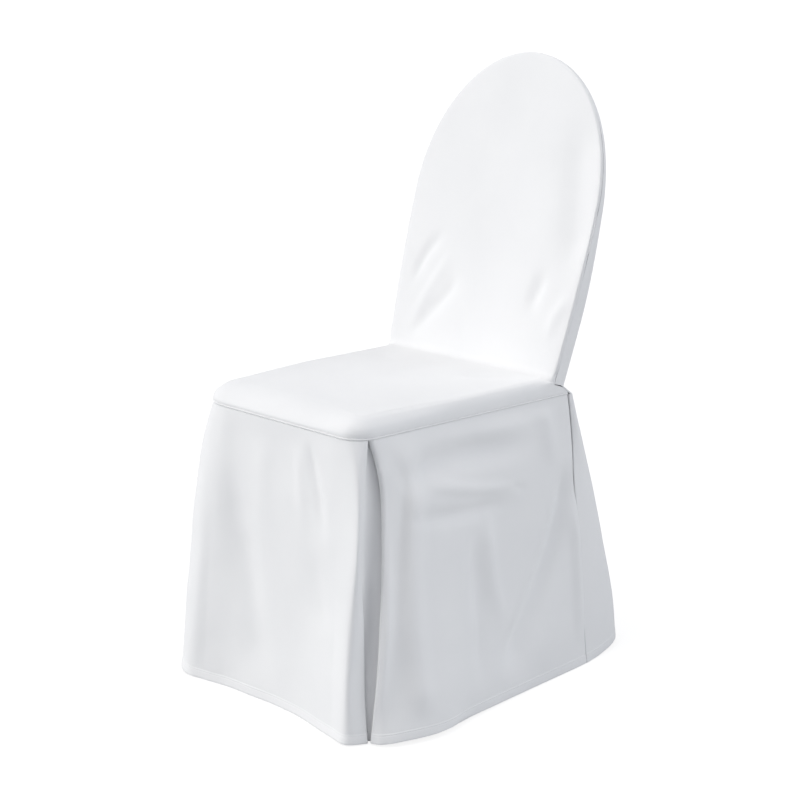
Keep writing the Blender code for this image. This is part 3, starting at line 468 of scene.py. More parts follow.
def hang_cloth(rows, across_axis, creases, levels, flare=0.0):
    """Give a skirt's rows their creases, their unevenness and their hem."""
    above = (1.0 - levels)[:, None] * SKIRT_TOP
    below_seam = levels[:, None] * SKIRT_TOP
    lift = crease_lift(creases, rows[..., across_axis], rows[..., 2])
    lift = lift + unevenness(rows, 0.110, 0.0016) + unevenness(rows + 3.0, 0.045, 0.0005)
    lift = lift * smooth_step(below_seam / 0.030)
    lift = lift + HEM_RISE * smooth_step((HEM_DEPTH + 0.0006 - above) / 0.0012)
    lift = lift - 0.0003 * np.exp(-((above - HEM_STITCH) / 0.0009) ** 2)
    lift = lift - 0.0006 * np.exp(-(above / 0.0010) ** 2)
    lift = lift + flare * smooth_step((HEM_DEPTH - above) / HEM_DEPTH)
    return rows + outward_over(rows) * lift[..., None]


def outward_of(direction):
    """Outward side of a plan direction that runs counterclockwise."""
    return np.array((direction[1], -direction[0], 0.0))


def plan_direction(start, end):
    """Unit direction from one point to another, seen from above."""
    way = np.array((end[0] - start[0], end[1] - start[1], 0.0))
    return way / np.linalg.norm(way)


def travelled_along(points):
    """Distance travelled from the first point to each."""
    return np.concatenate(([0.0], np.cumsum(np.linalg.norm(np.diff(points, axis=0), axis=1))))


def edge_radius(roundness, level):
    """Radius of a pleat edge's fold at one level."""
    return smooth_through(LEVELS, np.array(roundness)[:, None], level)[0][0]


def laid_strip(row, radius):
    """The turn at a row's end, and the far end of the cloth folded back behind the row."""
    travelled = travelled_along(row[::-1])
    forward = plan_direction(row[-1 - int(np.searchsorted(travelled, EDGE_REACH))], row[-1])
    outward = outward_of(forward)
    middle = row[-1] - outward * radius
    angles = np.linspace(0.0, np.pi, TURN_STEPS + 1)[1:]
    turn = [middle + radius * (outward * np.cos(a) + forward * np.sin(a)) for a in angles]
    back = int(np.searchsorted(travelled, RETURN_WIDTH))
    share = (RETURN_WIDTH - travelled[back - 1]) / (travelled[back] - travelled[back - 1])
    anchor = row[-back] + (row[-back - 1] - row[-back]) * share
    before = int(np.searchsorted(travelled, RETURN_WIDTH + ANCHOR_REACH))
    after = int(np.searchsorted(travelled, RETURN_WIDTH - ANCHOR_REACH))
    inward = -outward_of(plan_direction(row[-1 - before], row[-1 - after]))
    far = anchor + inward * RETURN_DEPTH
    far[2] = anchor[2]
    return turn, far


def turned_edge(row, radius):
    """The turn at the end of a row and the cloth folded back behind it."""
    turn, far = laid_strip(row, radius)
    shares = np.linspace(0.0, 1.0, LAID_STEPS + 1)[1:]
    return turn + [turn[-1] + (far - turn[-1]) * s for s in shares]


def mirrored(points):
    """The same points on the other side of the middle, in reverse order."""
    return np.array([point * (-1.0, 1.0, 1.0) for point in reversed(list(points))])


def with_turned_edges(row, level, first_edge, last_edge):
    """A row with both its ends turned back behind it."""
    start = mirrored(turned_edge(mirrored(row), edge_radius(first_edge, level)))
    return np.vstack((start, row, turned_edge(row, edge_radius(last_edge, level))))


def bend(start, leaving, end, arriving, count):
    """Smooth run between two points with given directions, without its end."""
    reach = np.linalg.norm(end - start)
    s = np.linspace(0.0, 1.0, count, endpoint=False)[:, None]
    rise = s * s * (3.0 - 2.0 * s)
    return (start * (1.0 - rise) + end * rise
            + leaving * reach * s * (1.0 - s) ** 2 + arriving * reach * s * s * (s - 1.0))


def underlay_row(first, second, level, first_edge, second_edge):
    """Row of an underlay, from behind one panel's end to behind the next one's start."""
    space = UNDERLAY_SPACE[0] + (UNDERLAY_SPACE[1] - UNDERLAY_SPACE[0]) * min(level * 8.0, 1.0)
    turn, far = laid_strip(first, edge_radius(first_edge, level))
    away = -outward_of(plan_direction(far, turn[-1])) * space
    start = (far + away, turn[-1] + (far - turn[-1]) * TUCK + away)
    turn, far = laid_strip(mirrored(second), edge_radius(second_edge, level))
    near, far = turn[-1] * (-1.0, 1.0, 1.0), far * (-1.0, 1.0, 1.0)
    away = -outward_of(plan_direction(near, far)) * space
    finish = (near + (far - near) * TUCK + away, far + away)
    across = plan_direction(start[1], finish[0])
    depth = smooth_through(LEVELS, np.array(UNDERLAY_DEPTH)[:, None], level)[0][0]
    middle = (first[-1] + second[0]) / 2 - outward_of(across) * depth
    shares = np.linspace(0.0, 1.0, TUCKED_STEPS + 1)[:, None]
    row = [start[0] + (start[1] - start[0]) * shares[:-1]]
    row.append(bend(start[1], plan_direction(*start), middle, across, BEND_STEPS))
    row.append(bend(middle, across, finish[0], plan_direction(*finish), BEND_STEPS))
    row.append(finish[0] + (finish[1] - finish[0]) * shares)
    return np.vstack(row)


# Seat and back

def back_point(x, up, depth):
    """Point of the leaning back: across, up its front face, and behind that face."""
    lean, rise = np.sin(BACK_LEAN), np.cos(BACK_LEAN)
    return np.array((x, BACK_FOOT[0] + up * lean + depth * rise,
                     BACK_FOOT[1] + up * rise - depth * lean))


def up_the_back(points):
    """How far up the back's face each point lies."""
    return ((points[..., 1] - BACK_FOOT[0]) * np.sin(BACK_LEAN)
            + (points[..., 2] - BACK_FOOT[1]) * np.cos(BACK_LEAN))


def behind_the_face(points):
    """How far behind the back's front face each point lies."""
    return ((points[..., 1] - BACK_FOOT[0]) * np.cos(BACK_LEAN)
            - (points[..., 2] - BACK_FOOT[1]) * np.sin(BACK_LEAN))


def back_depth(up):
    """Thickness of the back, less towards the arch."""
    share = smooth_step((up - THIN_FROM) / (THIN_BY - THIN_FROM))
    return BACK_DEEP_FOOT + (BACK_DEEP_TOP - BACK_DEEP_FOOT) * share


def arch_outline(inset, foot):
    """Outline of the back from the left foot over the arch to the right foot."""
    half_foot, half_wide = BACK_HALF_FOOT - inset, BACK_HALF_WIDE - inset
    length = BACK_LENGTH - inset
    right = []
    for k in range(BACK_SIDE_STEPS):
        up = foot + (ARCH_START - foot) * k / BACK_SIDE_STEPS
        widened = (half_wide - half_foot) * np.sin(np.pi / 2 * up / ARCH_START)
        right.append((half_foot + widened, up))
    for k in range(BACK_ARCH_STEPS // 2):
        a = np.pi * k / BACK_ARCH_STEPS
        right.append((half_wide * np.cos(a), ARCH_START + (length - ARCH_START) * np.sin(a)))
    left = [(-x, up) for x, up in right]
    return left + [(0.0, length)] + right[::-1]


def filled_patch(left, right, bottom, top):
    """Rows of points between four edges that meet at their corners."""
    v = np.linspace(0.0, 1.0, len(left))[:, None, None]
    u = np.linalg.norm(bottom - bottom[0], axis=1) / np.linalg.norm(bottom[-1] - bottom[0])
    u = u[None, :, None]
    sides = left[:, None] * (1 - u) + right[:, None] * u
    ends = bottom[None] * (1 - v) + top[None] * v
    corners = ((bottom[0] * (1 - u) + bottom[-1] * u) * (1 - v)
               + (top[0] * (1 - u) + top[-1] * u) * v)
    patch = sides + ends - corners
    patch[:, 0], patch[:, -1], patch[0], patch[-1] = left, right, bottom, top
    return patch


def corner_spread(start, end, steps, dense_start, dense_end):
    """Places from start to end, closer together at the rounded corners."""
    s = np.linspace(0.0, 1.0, steps + 1)
    if dense_start and dense_end:
        s = s - 0.8 * np.sin(2 * np.pi * s) / (2 * np.pi)
    elif dense_end:
        s = s + 0.55 * np.sin(np.pi * s) / np.pi
    else:
        s = s - 0.55 * np.sin(np.pi * s) / np.pi
    return start + (end - start) * s


def seat_ring():
    """Places along the seat seam for the left side, the front and the right side."""
    left_rear = seam_place_at(BACK_FOOT[0] - CREASE, -1)
    right_rear = seam_place_at(BACK_FOOT[0] - CREASE, 1)
    left_corner = -(SEAT_HALF_FRONT - CORNER_LEFT * (1 - np.pi / 4))
    right_corner = SEAT_HALF_FRONT - CORNER_RIGHT * (1 - np.pi / 4)
    left = corner_spread(left_rear, left_corner, DEEP_SEAT, False, True)
    front = corner_spread(left_corner, right_corner, ACROSS_SEAT, True, True)
    right = corner_spread(right_corner, right_rear, DEEP_SEAT, True, False)
    return np.concatenate((left, front[1:-1], right))


def seat_top_height(x, y):
    """Seat top with its soft crown."""
    half = SEAT_HALF_FRONT - SHOULDER
    across = np.maximum(1.0 - (x / half) ** 2, 0.0)
    deep = np.maximum(1.0 - ((y - 0.010) / 0.170) ** 2, 0.0)
    return SEAT_HEIGHT + SEAT_CROWN * across * deep


# Rows down the seat's edge, firm at the sides and soft at the front:
# distance in from the seam, then drop below the seat top
FIRM_EDGE = ((SHOULDER, 0.0), (0.0080, 0.0022), (0.0042, 0.0060), (0.0021, 0.0096),
             (0.0008, 0.0135), (0.0, 0.0192), (0.0, SEAT_HEIGHT - PANEL_BOTTOM))
SOFT_EDGE = ((0.0450, 0.0), (0.0290, 0.0030), (0.0170, 0.0075), (0.0085, 0.0125),
             (0.0030, 0.0175), (0.0, 0.0225), (0.0, SEAT_HEIGHT - PANEL_BOTTOM))


def finer(rows, steps):
    """Rows with more of them between each two, on smooth curves."""
    rows = np.asarray(rows, dtype=float)
    spans = len(rows) - 1
    return smooth_through(np.arange(len(rows)), rows, np.linspace(0, spans, spans * steps + 1))


def edge_column(place):
    """Points down the seat's edge at one place along the seam."""
    soft = smooth_through(SOFT_PLACES, np.array(SOFT_SHARES)[:, None], place)[0][0]
    soft = min(max(soft, 0.0), 1.0)
    column = []
    for firm_row, soft_row in zip(FIRM_EDGE, SOFT_EDGE):
        inset, drop = np.array(firm_row) * (1.0 - soft) + np.array(soft_row) * soft
        plan, outward = seat_seam(place, inset)
        column.append((plan[0], plan[1], SEAT_HEIGHT - drop))
    return np.array(column)


def rear_edge_column(side):
    """The last column of the seat's edge, which meets the foot of the back."""
    column = edge_column(seam_place_at(BACK_FOOT[0] - CREASE, side))
    foot = back_point(side * BACK_HALF_FOOT, 0.0, ARCH_SEAM)
    column[2] = (side * (BACK_HALF_FOOT - 0.0014), foot[1] - 0.0066, SEAT_HEIGHT - 0.0048)
    column[3] = (side * (BACK_HALF_FOOT - 0.0004), foot[1] - 0.0034, SEAT_HEIGHT - 0.0070)
    column[4] = foot
    column[5] = (side * BACK_HALF_FOOT, foot[1], foot[2] - 0.0080)
    column[6] = (side * BACK_HALF_FOOT, foot[1], PANEL_BOTTOM)
    return column


def seat_and_inside_back_patches():
    """One cloth over the seat, down its edge, and up the front of the back."""
    columns = [edge_column(place) for place in seat_ring()]
    columns[0] = rear_edge_column(-1)
    columns[-1] = rear_edge_column(1)
    edge = finer(np.array(columns).transpose(1, 0, 2), EDGE)[::-1]
    rim = edge[-1]
    left = rim[:DEEP_SEAT + 1][::-1]
    right = rim[DEEP_SEAT + ACROSS_SEAT:]
    front = rim[DEEP_SEAT:DEEP_SEAT + ACROSS_SEAT + 1]
    share = ((front[:, 0] - front[0, 0]) / (front[-1, 0] - front[0, 0]))[:, None]
    rear = left[-1] * (1 - share) + right[-1] * share
    top = filled_patch(left, right, front, rear)
    top[1:-1, 1:-1, 2] = seat_top_height(top[1:-1, 1:-1, 0], top[1:-1, 1:-1, 1])

    shoulder = edge[-1 - EDGE:, 0][:-1]
    shoulder_right = edge[-1 - EDGE:, -1][:-1][::-1]
    crease = np.vstack((shoulder, top[-1], shoulder_right))
    outline = arch_outline(EDGE_ROLL, INSIDE_FOOT)
    sides = (len(outline) - 1 - ACROSS_BACK) // 2
    flat = np.array([back_point(x, up, 0.0) for x, up in outline])
    bottom = np.array([back_point(x, INSIDE_FOOT, 0.0) for x in crease[:, 0]])
    bottom[0], bottom[-1] = flat[0], flat[-1]
    inside = filled_patch(flat[:sides + 1], flat[::-1][:sides + 1], bottom,
                          flat[sides:sides + ACROSS_BACK + 1])
    corner = crease.copy()
    corner[:, 1] = BACK_FOOT[0] + (SEAT_HEIGHT - BACK_FOOT[1]) * np.tan(BACK_LEAN)
    s = np.linspace(0.0, 1.0, 2 * EDGE + 1)[:-1, None, None]
    soft_bend = (1 - s) ** 2 * crease + 2 * s * (1 - s) * corner + s ** 2 * inside[0]
    inside = np.concatenate((soft_bend, inside))

    ring = np.vstack((inside[:-1, 0], inside[-1], inside[:-1, -1][::-1]))
    foot_rise = np.interp(np.arange(2 * EDGE), (0, EDGE, 2 * EDGE), (0.0, TAB_FOOT, INSIDE_FOOT))
    outer = arch_outline(0.0, INSIDE_FOOT)
    outer = [(-BACK_HALF_FOOT, up) for up in foot_rise] + outer
    outer = outer + [(BACK_HALF_FOOT, up) for up in foot_rise[::-1]]
    lip = np.array([back_point(x, up, ARCH_SEAM) for x, up in outer])
    edge_line = np.array([back_point(x, up, EDGE_ROLL * 0.7) for x, up in outer])
    halfway = np.array([back_point(x, up, EDGE_ROLL * 0.2) for x, up in outer])
    halfway = halfway + (ring - halfway) * 0.3
    low, high = len(edge) - 1 - 4 * EDGE, len(edge) - 1 - EDGE
    for row, k in ((halfway, 2), (edge_line, 3), (lip, 4)):
        row[0], row[-1] = edge[len(edge) - 1 - k * EDGE, 0], edge[len(edge) - 1 - k * EDGE, -1]
    roll = finer((ring, halfway, edge_line, lip), EDGE)
    roll[:, 0] = edge[low:high + 1, 0][::-1]
    roll[:, -1] = edge[low:high + 1, -1][::-1]
    lower = edge[0]
    inward = -outward_over(lower[None])[0]
    seam = np.stack((lower + inward * ALLOWANCE - (0.0, 0.0, ALLOWANCE_BEND),
                     lower + inward * ALLOWANCE * NEAR_SEAM, lower))
    arch_in = arch_outline(ALLOWANCE, INSIDE_FOOT)
    arch_seam = np.stack((lip[2 * EDGE:-2 * EDGE],
                          [back_point(x, up, ARCH_SEAM) for x, up in arch_in]))
    return {"edge": edge, "seat": top, "inside": inside, "roll": roll, "seam": seam,
            "arch_seam": arch_seam, "left_tab": side_tab(edge, -1), "right_tab": side_tab(edge, 1)}


def strip_foot():
    """Where the strip's lower edge turns down towards the rear skirt."""
    return back_point(BACK_HALF_FOOT, STRIP_LIFT, back_depth(0.0) - BACK_EDGE - STRIP_TURN)


def waist_edge(height):
    """y of the outside back's front edge, between the strip's foot and the seat seam."""
    foot = strip_foot()
    return foot[1] + (REAR_FOLD - foot[1]) * (foot[2] - height) / (foot[2] - SKIRT_TOP)


def side_tab(edge, side):
    """The seat's side cloth behind the foot of the inside back, as far as the outside back."""
    column = edge[:2 * EDGE + 1, 0 if side < 0 else -1]
    heights = PANEL_BOTTOM + np.interp(np.arange(2 * EDGE + 1), (0, EDGE, 2 * EDGE), TAB_RISE)
    rear = np.array([(side * SEAT_HALF_REAR, waist_edge(z) - 3 * SEAM_GAP, z) for z in heights])
    shares = np.linspace(0.0, 1.0, 2 * EDGE + 1)[None, :, None]
    tab = column[:, None] * (1 - shares) + rear[:, None] * shares
    return tab[:, ::-1] if side < 0 else tab


# Rows of the side strip from the arch seam round to the rear face:
# distance in from the outline, share of the back's thickness, and how far behind that
STRIP_ROWS = (
    (0.0, 0.0, ARCH_SEAM + SEAM_GAP),
    (0.0, 0.5, (ARCH_SEAM - BACK_EDGE - STRIP_TURN) / 2),
    (0.0, 1.0, -BACK_EDGE - STRIP_TURN),
    (0.0, 1.0, -BACK_EDGE),
    (BACK_EDGE * 0.3, 1.0, -BACK_EDGE * 0.3),
    (BACK_EDGE, 1.0, 0.0),
)


def outside_back_patches(skirt_rows):
    """One cloth from the arch seam round the back's edge and down to the rear hem."""
    sides = (2 * BACK_SIDE_STEPS + BACK_ARCH_STEPS - ACROSS_BACK) // 2
    strip = []
    for inset, share, behind in STRIP_ROWS:
        ring = arch_outline(inset, STRIP_LIFT)
        strip.append([back_point(x, up, share * back_depth(up) + behind) for x, up in ring])
    strip = finer(strip, EDGE)
    rim = strip[-1]
    shares = np.linspace(0.0, 1.0, ACROSS_BACK + 1)[:, None]
    foot = rim[-1] * (1 - shares) + rim[0] * shares
    arch = rim[::-1][sides:sides + ACROSS_BACK + 1]
    rear = filled_patch(rim[::-1][:sides + 1], rim[:sides + 1], foot, arch)
    j = np.linspace(0.0, 1.0, rear.shape[0])[1:-1, None]
    i = np.linspace(0.0, 1.0, rear.shape[1])[None, 1:-1]
    share = (np.sin(np.pi * i) * np.sin(np.pi * j ** 0.8)) ** 0.6
    rearward = back_point(0.0, 0.0, BACK_SWELL) - back_point(0.0, 0.0, 0.0)
    rear[1:-1, 1:-1] += rearward * share[..., None]

    skirt = np.array([with_turned_edges(row, level, REAR_EDGES, REAR_EDGES)
                      for row, level in zip(skirt_rows, skirt_levels())])
    turned = TURN_STEPS + LAID_STEPS
    low = skirt[-1][turned:-turned]
    high = np.vstack((strip[2 * EDGE:5 * EDGE, -1], foot, strip[2 * EDGE:5 * EDGE, 0][::-1]))
    shares = np.linspace(0.0, 1.0, 2 * EDGE + 1)[:, None, None]
    waist = low * (1 - shares) + high * shares
    arch_in = [back_point(x, up, ARCH_SEAM + SEAM_GAP)
               for x, up in arch_outline(ALLOWANCE, STRIP_LIFT)]
    arch_seam = np.stack((arch_in, strip[0]))
    return {"strip": strip, "rear": rear, "waist": waist, "skirt": skirt, "arch_seam": arch_seam}


def rear_skirt_row(lines, level):
    """One row of the rear skirt, with a column for each column of the back above it."""
    fine = panel_section(lines, level, 24)
    keys = np.linspace(0.0, 1.0, len(fine))
    seam = panel_section(lines, 0.0, 24)
    travelled = travelled_along(seam)
    inner = np.linspace(WAIST_CORNER, travelled[-1] - WAIST_CORNER, ACROSS_BACK + 1)
    first = WAIST_CORNER * np.interp(np.arange(3 * EDGE), (0, EDGE, 2 * EDGE, 3 * EDGE),
                                     (0.0, 0.25, 0.6, 1.0))
    wanted = np.concatenate((first, inner, travelled[-1] - first[::-1]))
    at = np.interp(wanted, travelled, keys)
    return np.column_stack([np.interp(at, keys, fine[:, k]) for k in range(3)])


# Making the sheets

def lay_patch(points, across, up):
    """Lay a flat grid of squares on rows of points, with its weave measured in metres."""
    rows, columns = points.shape[0] - 1, points.shape[1] - 1
    bpy.ops.mesh.primitive_grid_add(x_subdivisions=columns, y_subdivisions=rows, size=1.0)
    patch = bpy.context.object
    place = np.empty(len(patch.data.vertices) * 3)
    patch.data.vertices.foreach_get("co", place)
    place = place.reshape(-1, 3)
    i = np.rint((place[:, 0] + 0.5) * columns).astype(int)
    j = np.rint((place[:, 1] + 0.5) * rows).astype(int)
    laid = points[j, i] - (CENTRE[0], CENTRE[1], 0.0)
    patch.data.vertices.foreach_set("co", laid.reshape(-1))
    corner = np.empty(len(patch.data.loops), dtype=int)
    patch.data.loops.foreach_get("vertex_index", corner)
    weave = np.column_stack((across[j, i], up[j, i]))[corner]
    patch.data.uv_layers.active.data.foreach_set("uv", weave.reshape(-1))
    return patch


def measured_along(points, axis):
    """Mean distance travelled along the rows or columns of a patch."""
    steps = np.linalg.norm(np.diff(points, axis=axis), axis=2).mean(axis=1 - axis)
    travelled = np.concatenate(([0.0], np.cumsum(steps)))
    shape = points.shape[:2]
    return np.broadcast_to(travelled[:, None] if axis == 0 else travelled[None], shape)


def join_patches(name, patches):
    """Sew the patches of one cloth into one sheet."""
    bpy.ops.object.select_all(action="DESELECT")
    for patch in patches:
        patch.select_set(True)
    bpy.context.view_layer.objects.active = patches[0]
    if len(patches) > 1:
        bpy.ops.object.join()
    sheet = bpy.context.object
    sheet.name = name
    sheet.data.name = name
    bpy.ops.object.mode_set(mode="EDIT")
    bpy.ops.mesh.select_all(action="SELECT")
    bpy.ops.mesh.remove_doubles(threshold=0.00002)
    bpy.ops.object.mode_set(mode="OBJECT")
    return sheet


def points_of(sheet):
    """The sheet's points, in the sizes that the tables use."""
    place = np.empty(len(sheet.data.vertices) * 3)
    sheet.data.vertices.foreach_get("co", place)
    return place.reshape(-1, 3) + (CENTRE[0], CENTRE[1], 0.0)


def raise_cloth(sheet, lift):
    """Move each point along its own outward direction."""
    normals = np.empty(len(sheet.data.vertices) * 3)
    sheet.data.vertices.foreach_get("normal", normals)
    place = points_of(sheet) - (CENTRE[0], CENTRE[1], 0.0) + normals.reshape(-1, 3) * lift[:, None]
    sheet.data.vertices.foreach_set("co", place.reshape(-1))
    sheet.data.update()


def finish_cloth(sheet, finish):
    """Give the sheet its thickness, smooth shading and material."""
    bpy.ops.object.select_all(action="DESELECT")
    sheet.select_set(True)
    bpy.context.view_layer.objects.active = sheet
    bpy.ops.object.modifier_add(type="SOLIDIFY")
    thickness = sheet.modifiers[-1]
    thickness.thickness = CLOTH
    thickness.offset = -1.0
    bpy.ops.object.modifier_apply(modifier=thickness.name)
    bpy.ops.object.shade_smooth_by_angle(angle=np.radians(55))
    sheet.data.materials.clear()
    sheet.data.materials.append(finish)


def register(piece, node):
    """Let the piece stand for its solid."""
    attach(piece, "root")
    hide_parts(node)


# Finishes

THREADS = 1500.0             # threads in a metre
SLUB = 0.5                   # how uneven they are
WEAVE_RISE = 0.00006
STITCH_RISE = 0.00025
STITCH_SHADE = 0.35

def new_group(name, inputs, outputs):
    """Empty node group with named inputs and outputs."""
    group = bpy.data.node_groups.new(name, "ShaderNodeTree")
    for label, value in inputs:
        socket = group.interface.new_socket(name=label, in_out="INPUT",
                                            socket_type="NodeSocketFloat")
        socket.default_value = value
    for label in outputs:
        group.interface.new_socket(name=label, in_out="OUTPUT", socket_type="NodeSocketFloat")
    return group, group.nodes.new("NodeGroupInput"), group.nodes.new("NodeGroupOutput")


def calculate(tree, operation, first, second=None):
    """Math node between two sockets or numbers."""
    node = tree.nodes.new("ShaderNodeMath")
    node.operation = operation
    for socket, value in zip(node.inputs, (first, second)):
        if isinstance(value, bpy.types.NodeSocket):
            tree.links.new(value, socket)
        elif value is not None:
            socket.default_value = value
    return node.outputs[0]


def weave_places(tree):
    """Distances along the two thread directions, in metres."""
    places = tree.nodes.new("ShaderNodeUVMap")
    places.uv_map = "UVMap"
    split = tree.nodes.new("ShaderNodeSeparateXYZ")
    tree.links.new(places.outputs["UV"], split.inputs[0])
    return split.outputs["X"], split.outputs["Y"]


def stretched_noise(tree, across, up, across_scale, up_scale, detail):
    """Noise drawn out along one thread direction."""
    join = tree.nodes.new("ShaderNodeCombineXYZ")
    tree.links.new(calculate(tree, "MULTIPLY", across, across_scale), join.inputs[0])
    tree.links.new(calculate(tree, "MULTIPLY", up, up_scale), join.inputs[1])
    cloud = tree.nodes.new("ShaderNodeTexNoise")
    cloud.noise_dimensions = "2D"
    cloud.inputs["Scale"].default_value = 1.0
    cloud.inputs["Detail"].default_value = detail
    tree.links.new(join.outputs[0], cloud.inputs["Vector"])
    return cloud.outputs[0]


def plain_weave():
    """Crossing threads with slubs: their height and their slight change of tone."""
    group, given, result = new_group(
        "plain_weave", (("Threads", THREADS), ("Slub", SLUB)), ("Height", "Tone"))
    across, up = weave_places(group)
    warp, weft = (calculate(group, "SINE", calculate(group, "MULTIPLY", calculate(
        group, "MULTIPLY", way, given.outputs["Threads"]), np.pi)) for way in (across, up))
    crossing = calculate(group, "MULTIPLY", warp, weft)
    slub_along = stretched_noise(group, across, up, 40.0, 900.0, 1.0)
    slub_up = stretched_noise(group, across, up, 900.0, 40.0, 1.0)
    slubs = calculate(group, "ADD", slub_along, slub_up)
    slubs = calculate(group, "SUBTRACT", slubs, 1.0)
    slubs = calculate(group, "MULTIPLY", slubs, given.outputs["Slub"])
    height = calculate(group, "ADD", calculate(group, "MULTIPLY", crossing, 0.5), slubs)
    group.links.new(height, result.inputs["Height"])
    clouds = stretched_noise(group, across, up, 9.0, 7.0, 3.0)
    tone = calculate(group, "ADD", calculate(group, "MULTIPLY", slubs, 0.35), clouds)
    group.links.new(tone, result.inputs["Tone"])
    return group


def stitch_row():
    """One row of stitches at a height above the cloth's lower edge: their mask and their height."""
    group, given, result = new_group(
        "stitch_row", (("Row Height", HEM_STITCH), ("Stitch Length", STITCH_LENGTH),
                       ("Thread Width", THREAD_WIDTH)), ("Mask", "Height"))
    across, up = weave_places(group)
    away = calculate(group, "SUBTRACT", up, given.outputs["Row Height"])
    away = calculate(group, "ABSOLUTE", away)
    near = calculate(group, "DIVIDE", away, given.outputs["Thread Width"])
    near = calculate(group, "MAXIMUM", calculate(group, "SUBTRACT", 1.0, near), 0.0)
    turn = calculate(group, "DIVIDE", across, given.outputs["Stitch Length"])
    turn = calculate(group, "FRACT", turn)
    arch = calculate(group, "SINE", calculate(group, "MULTIPLY", turn, np.pi))
    arch = calculate(group, "POWER", calculate(group, "MAXIMUM", arch, 0.0), 0.5)
    mask = calculate(group, "MULTIPLY", near, arch)
    group.links.new(mask, result.inputs["Mask"])
    dip = calculate(group, "SUBTRACT", calculate(group, "MULTIPLY", mask, 1.5), near)
    group.links.new(dip, result.inputs["Height"])
    return group


def place_group(tree, group, **values):
    """Put a group in a material with its own values."""
    node = tree.nodes.new("ShaderNodeGroup")
    node.node_tree = group
    for label, value in values.items():
        node.inputs[label.replace("_", " ")].default_value = value
    return node


def mixed_colour(tree, share, first, second):
    """Colour between two, by a share."""
    mix = tree.nodes.new("ShaderNodeMix")
    mix.data_type = "RGBA"
    for label, value in (("Factor", share), ("A", first), ("B", second)):
        socket = mix.inputs[label]
        if isinstance(value, bpy.types.NodeSocket):
            tree.links.new(value, socket)
        else:
            socket.default_value = value
    return mix.outputs["Result"]


WHITE = (0.862, 0.863, 0.866, 1.0)
SHADE = (0.838, 0.840, 0.845, 1.0)
WEAVE = plain_weave()
STITCHES = stitch_row()


def white_cloth(name, white, shade, roughness, sheen, hem=False):
    """Plain woven white cloth, with a stitched hem where it has one."""
    finish = bpy.data.materials.new(name)
    finish.use_nodes = True
    tree = finish.node_tree
    shader = tree.nodes["Principled BSDF"]
    weave = place_group(tree, WEAVE, Threads=THREADS, Slub=SLUB)
    tone = tree.nodes.new("ShaderNodeMapRange")
    tone.inputs["From Min"].default_value = 0.25
    tone.inputs["From Max"].default_value = 0.75
    tree.links.new(weave.outputs["Tone"], tone.inputs["Value"])
    colour = mixed_colour(tree, tone.outputs[0], white, shade)
    height = calculate(tree, "MULTIPLY", weave.outputs["Height"], WEAVE_RISE)
    if hem:
        stitches = place_group(tree, STITCHES, Row_Height=HEM_STITCH,
                               Stitch_Length=STITCH_LENGTH, Thread_Width=THREAD_WIDTH)
        raised = calculate(tree, "MULTIPLY", stitches.outputs["Height"], STITCH_RISE)
        height = calculate(tree, "ADD", height, raised)
        darker = calculate(tree, "MULTIPLY", stitches.outputs["Mask"], STITCH_SHADE)
        colour = mixed_colour(tree, darker, colour, shade)
    rough = tree.nodes.new("ShaderNodeMapRange")
    rough.inputs["To Min"].default_value = roughness - 0.05
    rough.inputs["To Max"].default_value = roughness + 0.05
    tree.links.new(weave.outputs["Tone"], rough.inputs["Value"])
    bump = tree.nodes.new("ShaderNodeBump")
    bump.inputs["Distance"].default_value = 1.0
    tree.links.new(height, bump.inputs["Height"])
    tree.links.new(bump.outputs[0], shader.inputs["Normal"])
    tree.links.new(colour, shader.inputs["Base Color"])
    tree.links.new(rough.outputs[0], shader.inputs["Roughness"])
    shader.inputs["Sheen Weight"].default_value = sheen
    shader.inputs["Sheen Roughness"].default_value = 0.5
    shader.inputs["Specular IOR Level"].default_value = 0.3
    return finish


# The pieces

levels = skirt_levels()
above_hem = (1.0 - levels) * SKIRT_TOP
front_lines = seam_folds(FRONT_FOLDS) + corner_folds(FRONT_RIGHT_CORNER)
right_lines = corner_folds(SIDE_FRONT_CORNER) + seam_folds(SIDE_FOLDS)
right_lines += corner_folds(SIDE_REAR_EDGE)
left_lines = other_side(corner_folds(SIDE_REAR_EDGE)) + seam_folds(LEFT_FOLDS)
rear_lines = corner_folds(REAR_SIDE_EDGE)
rear_lines += [hanging_fold((sx, sy), (hx, hy), hang) for name, sx, sy, hx, hy, hang in REAR_FOLDS]
rear_lines += other_side(corner_folds(REAR_SIDE_EDGE))


def panel_rows(lines, across_axis, creases, flare=0.0):
    """All the rows of one skirt panel, with its creases and hem."""
    rows = np.array([panel_section(lines, level, PER_FOLD) for level in levels])
    return hang_cloth(rows, across_axis, creases, levels, flare)


front_rows = panel_rows(front_lines, 0, FRONT_CREASES, HEM_FLARE)
right_rows = panel_rows(right_lines, 1, SIDE_CREASES)
left_rows = panel_rows(left_lines, 1, LEFT_CREASES)
rear_rows = np.array([rear_skirt_row(rear_lines, level) for level in levels])
rear_rows = hang_cloth(rear_rows, 0, REAR_CREASES, levels)


def hem_up(points):
    """Height above the hem for each row of a skirt patch."""
    return np.broadcast_to(above_hem[:, None], points.shape[:2])


def with_allowance(points):
    """Rows of a skirt with its top edge turned in behind the welt."""
    top = points[-1]
    inward = -outward_over(top[None])[0]
    half = top + inward * ALLOWANCE * NEAR_SEAM + (0.0, 0.0, ALLOWANCE_BEND / 6)
    full = top + inward * ALLOWANCE + (0.0, 0.0, ALLOWANCE_BEND)
    return np.concatenate((points, half[None], full[None]))


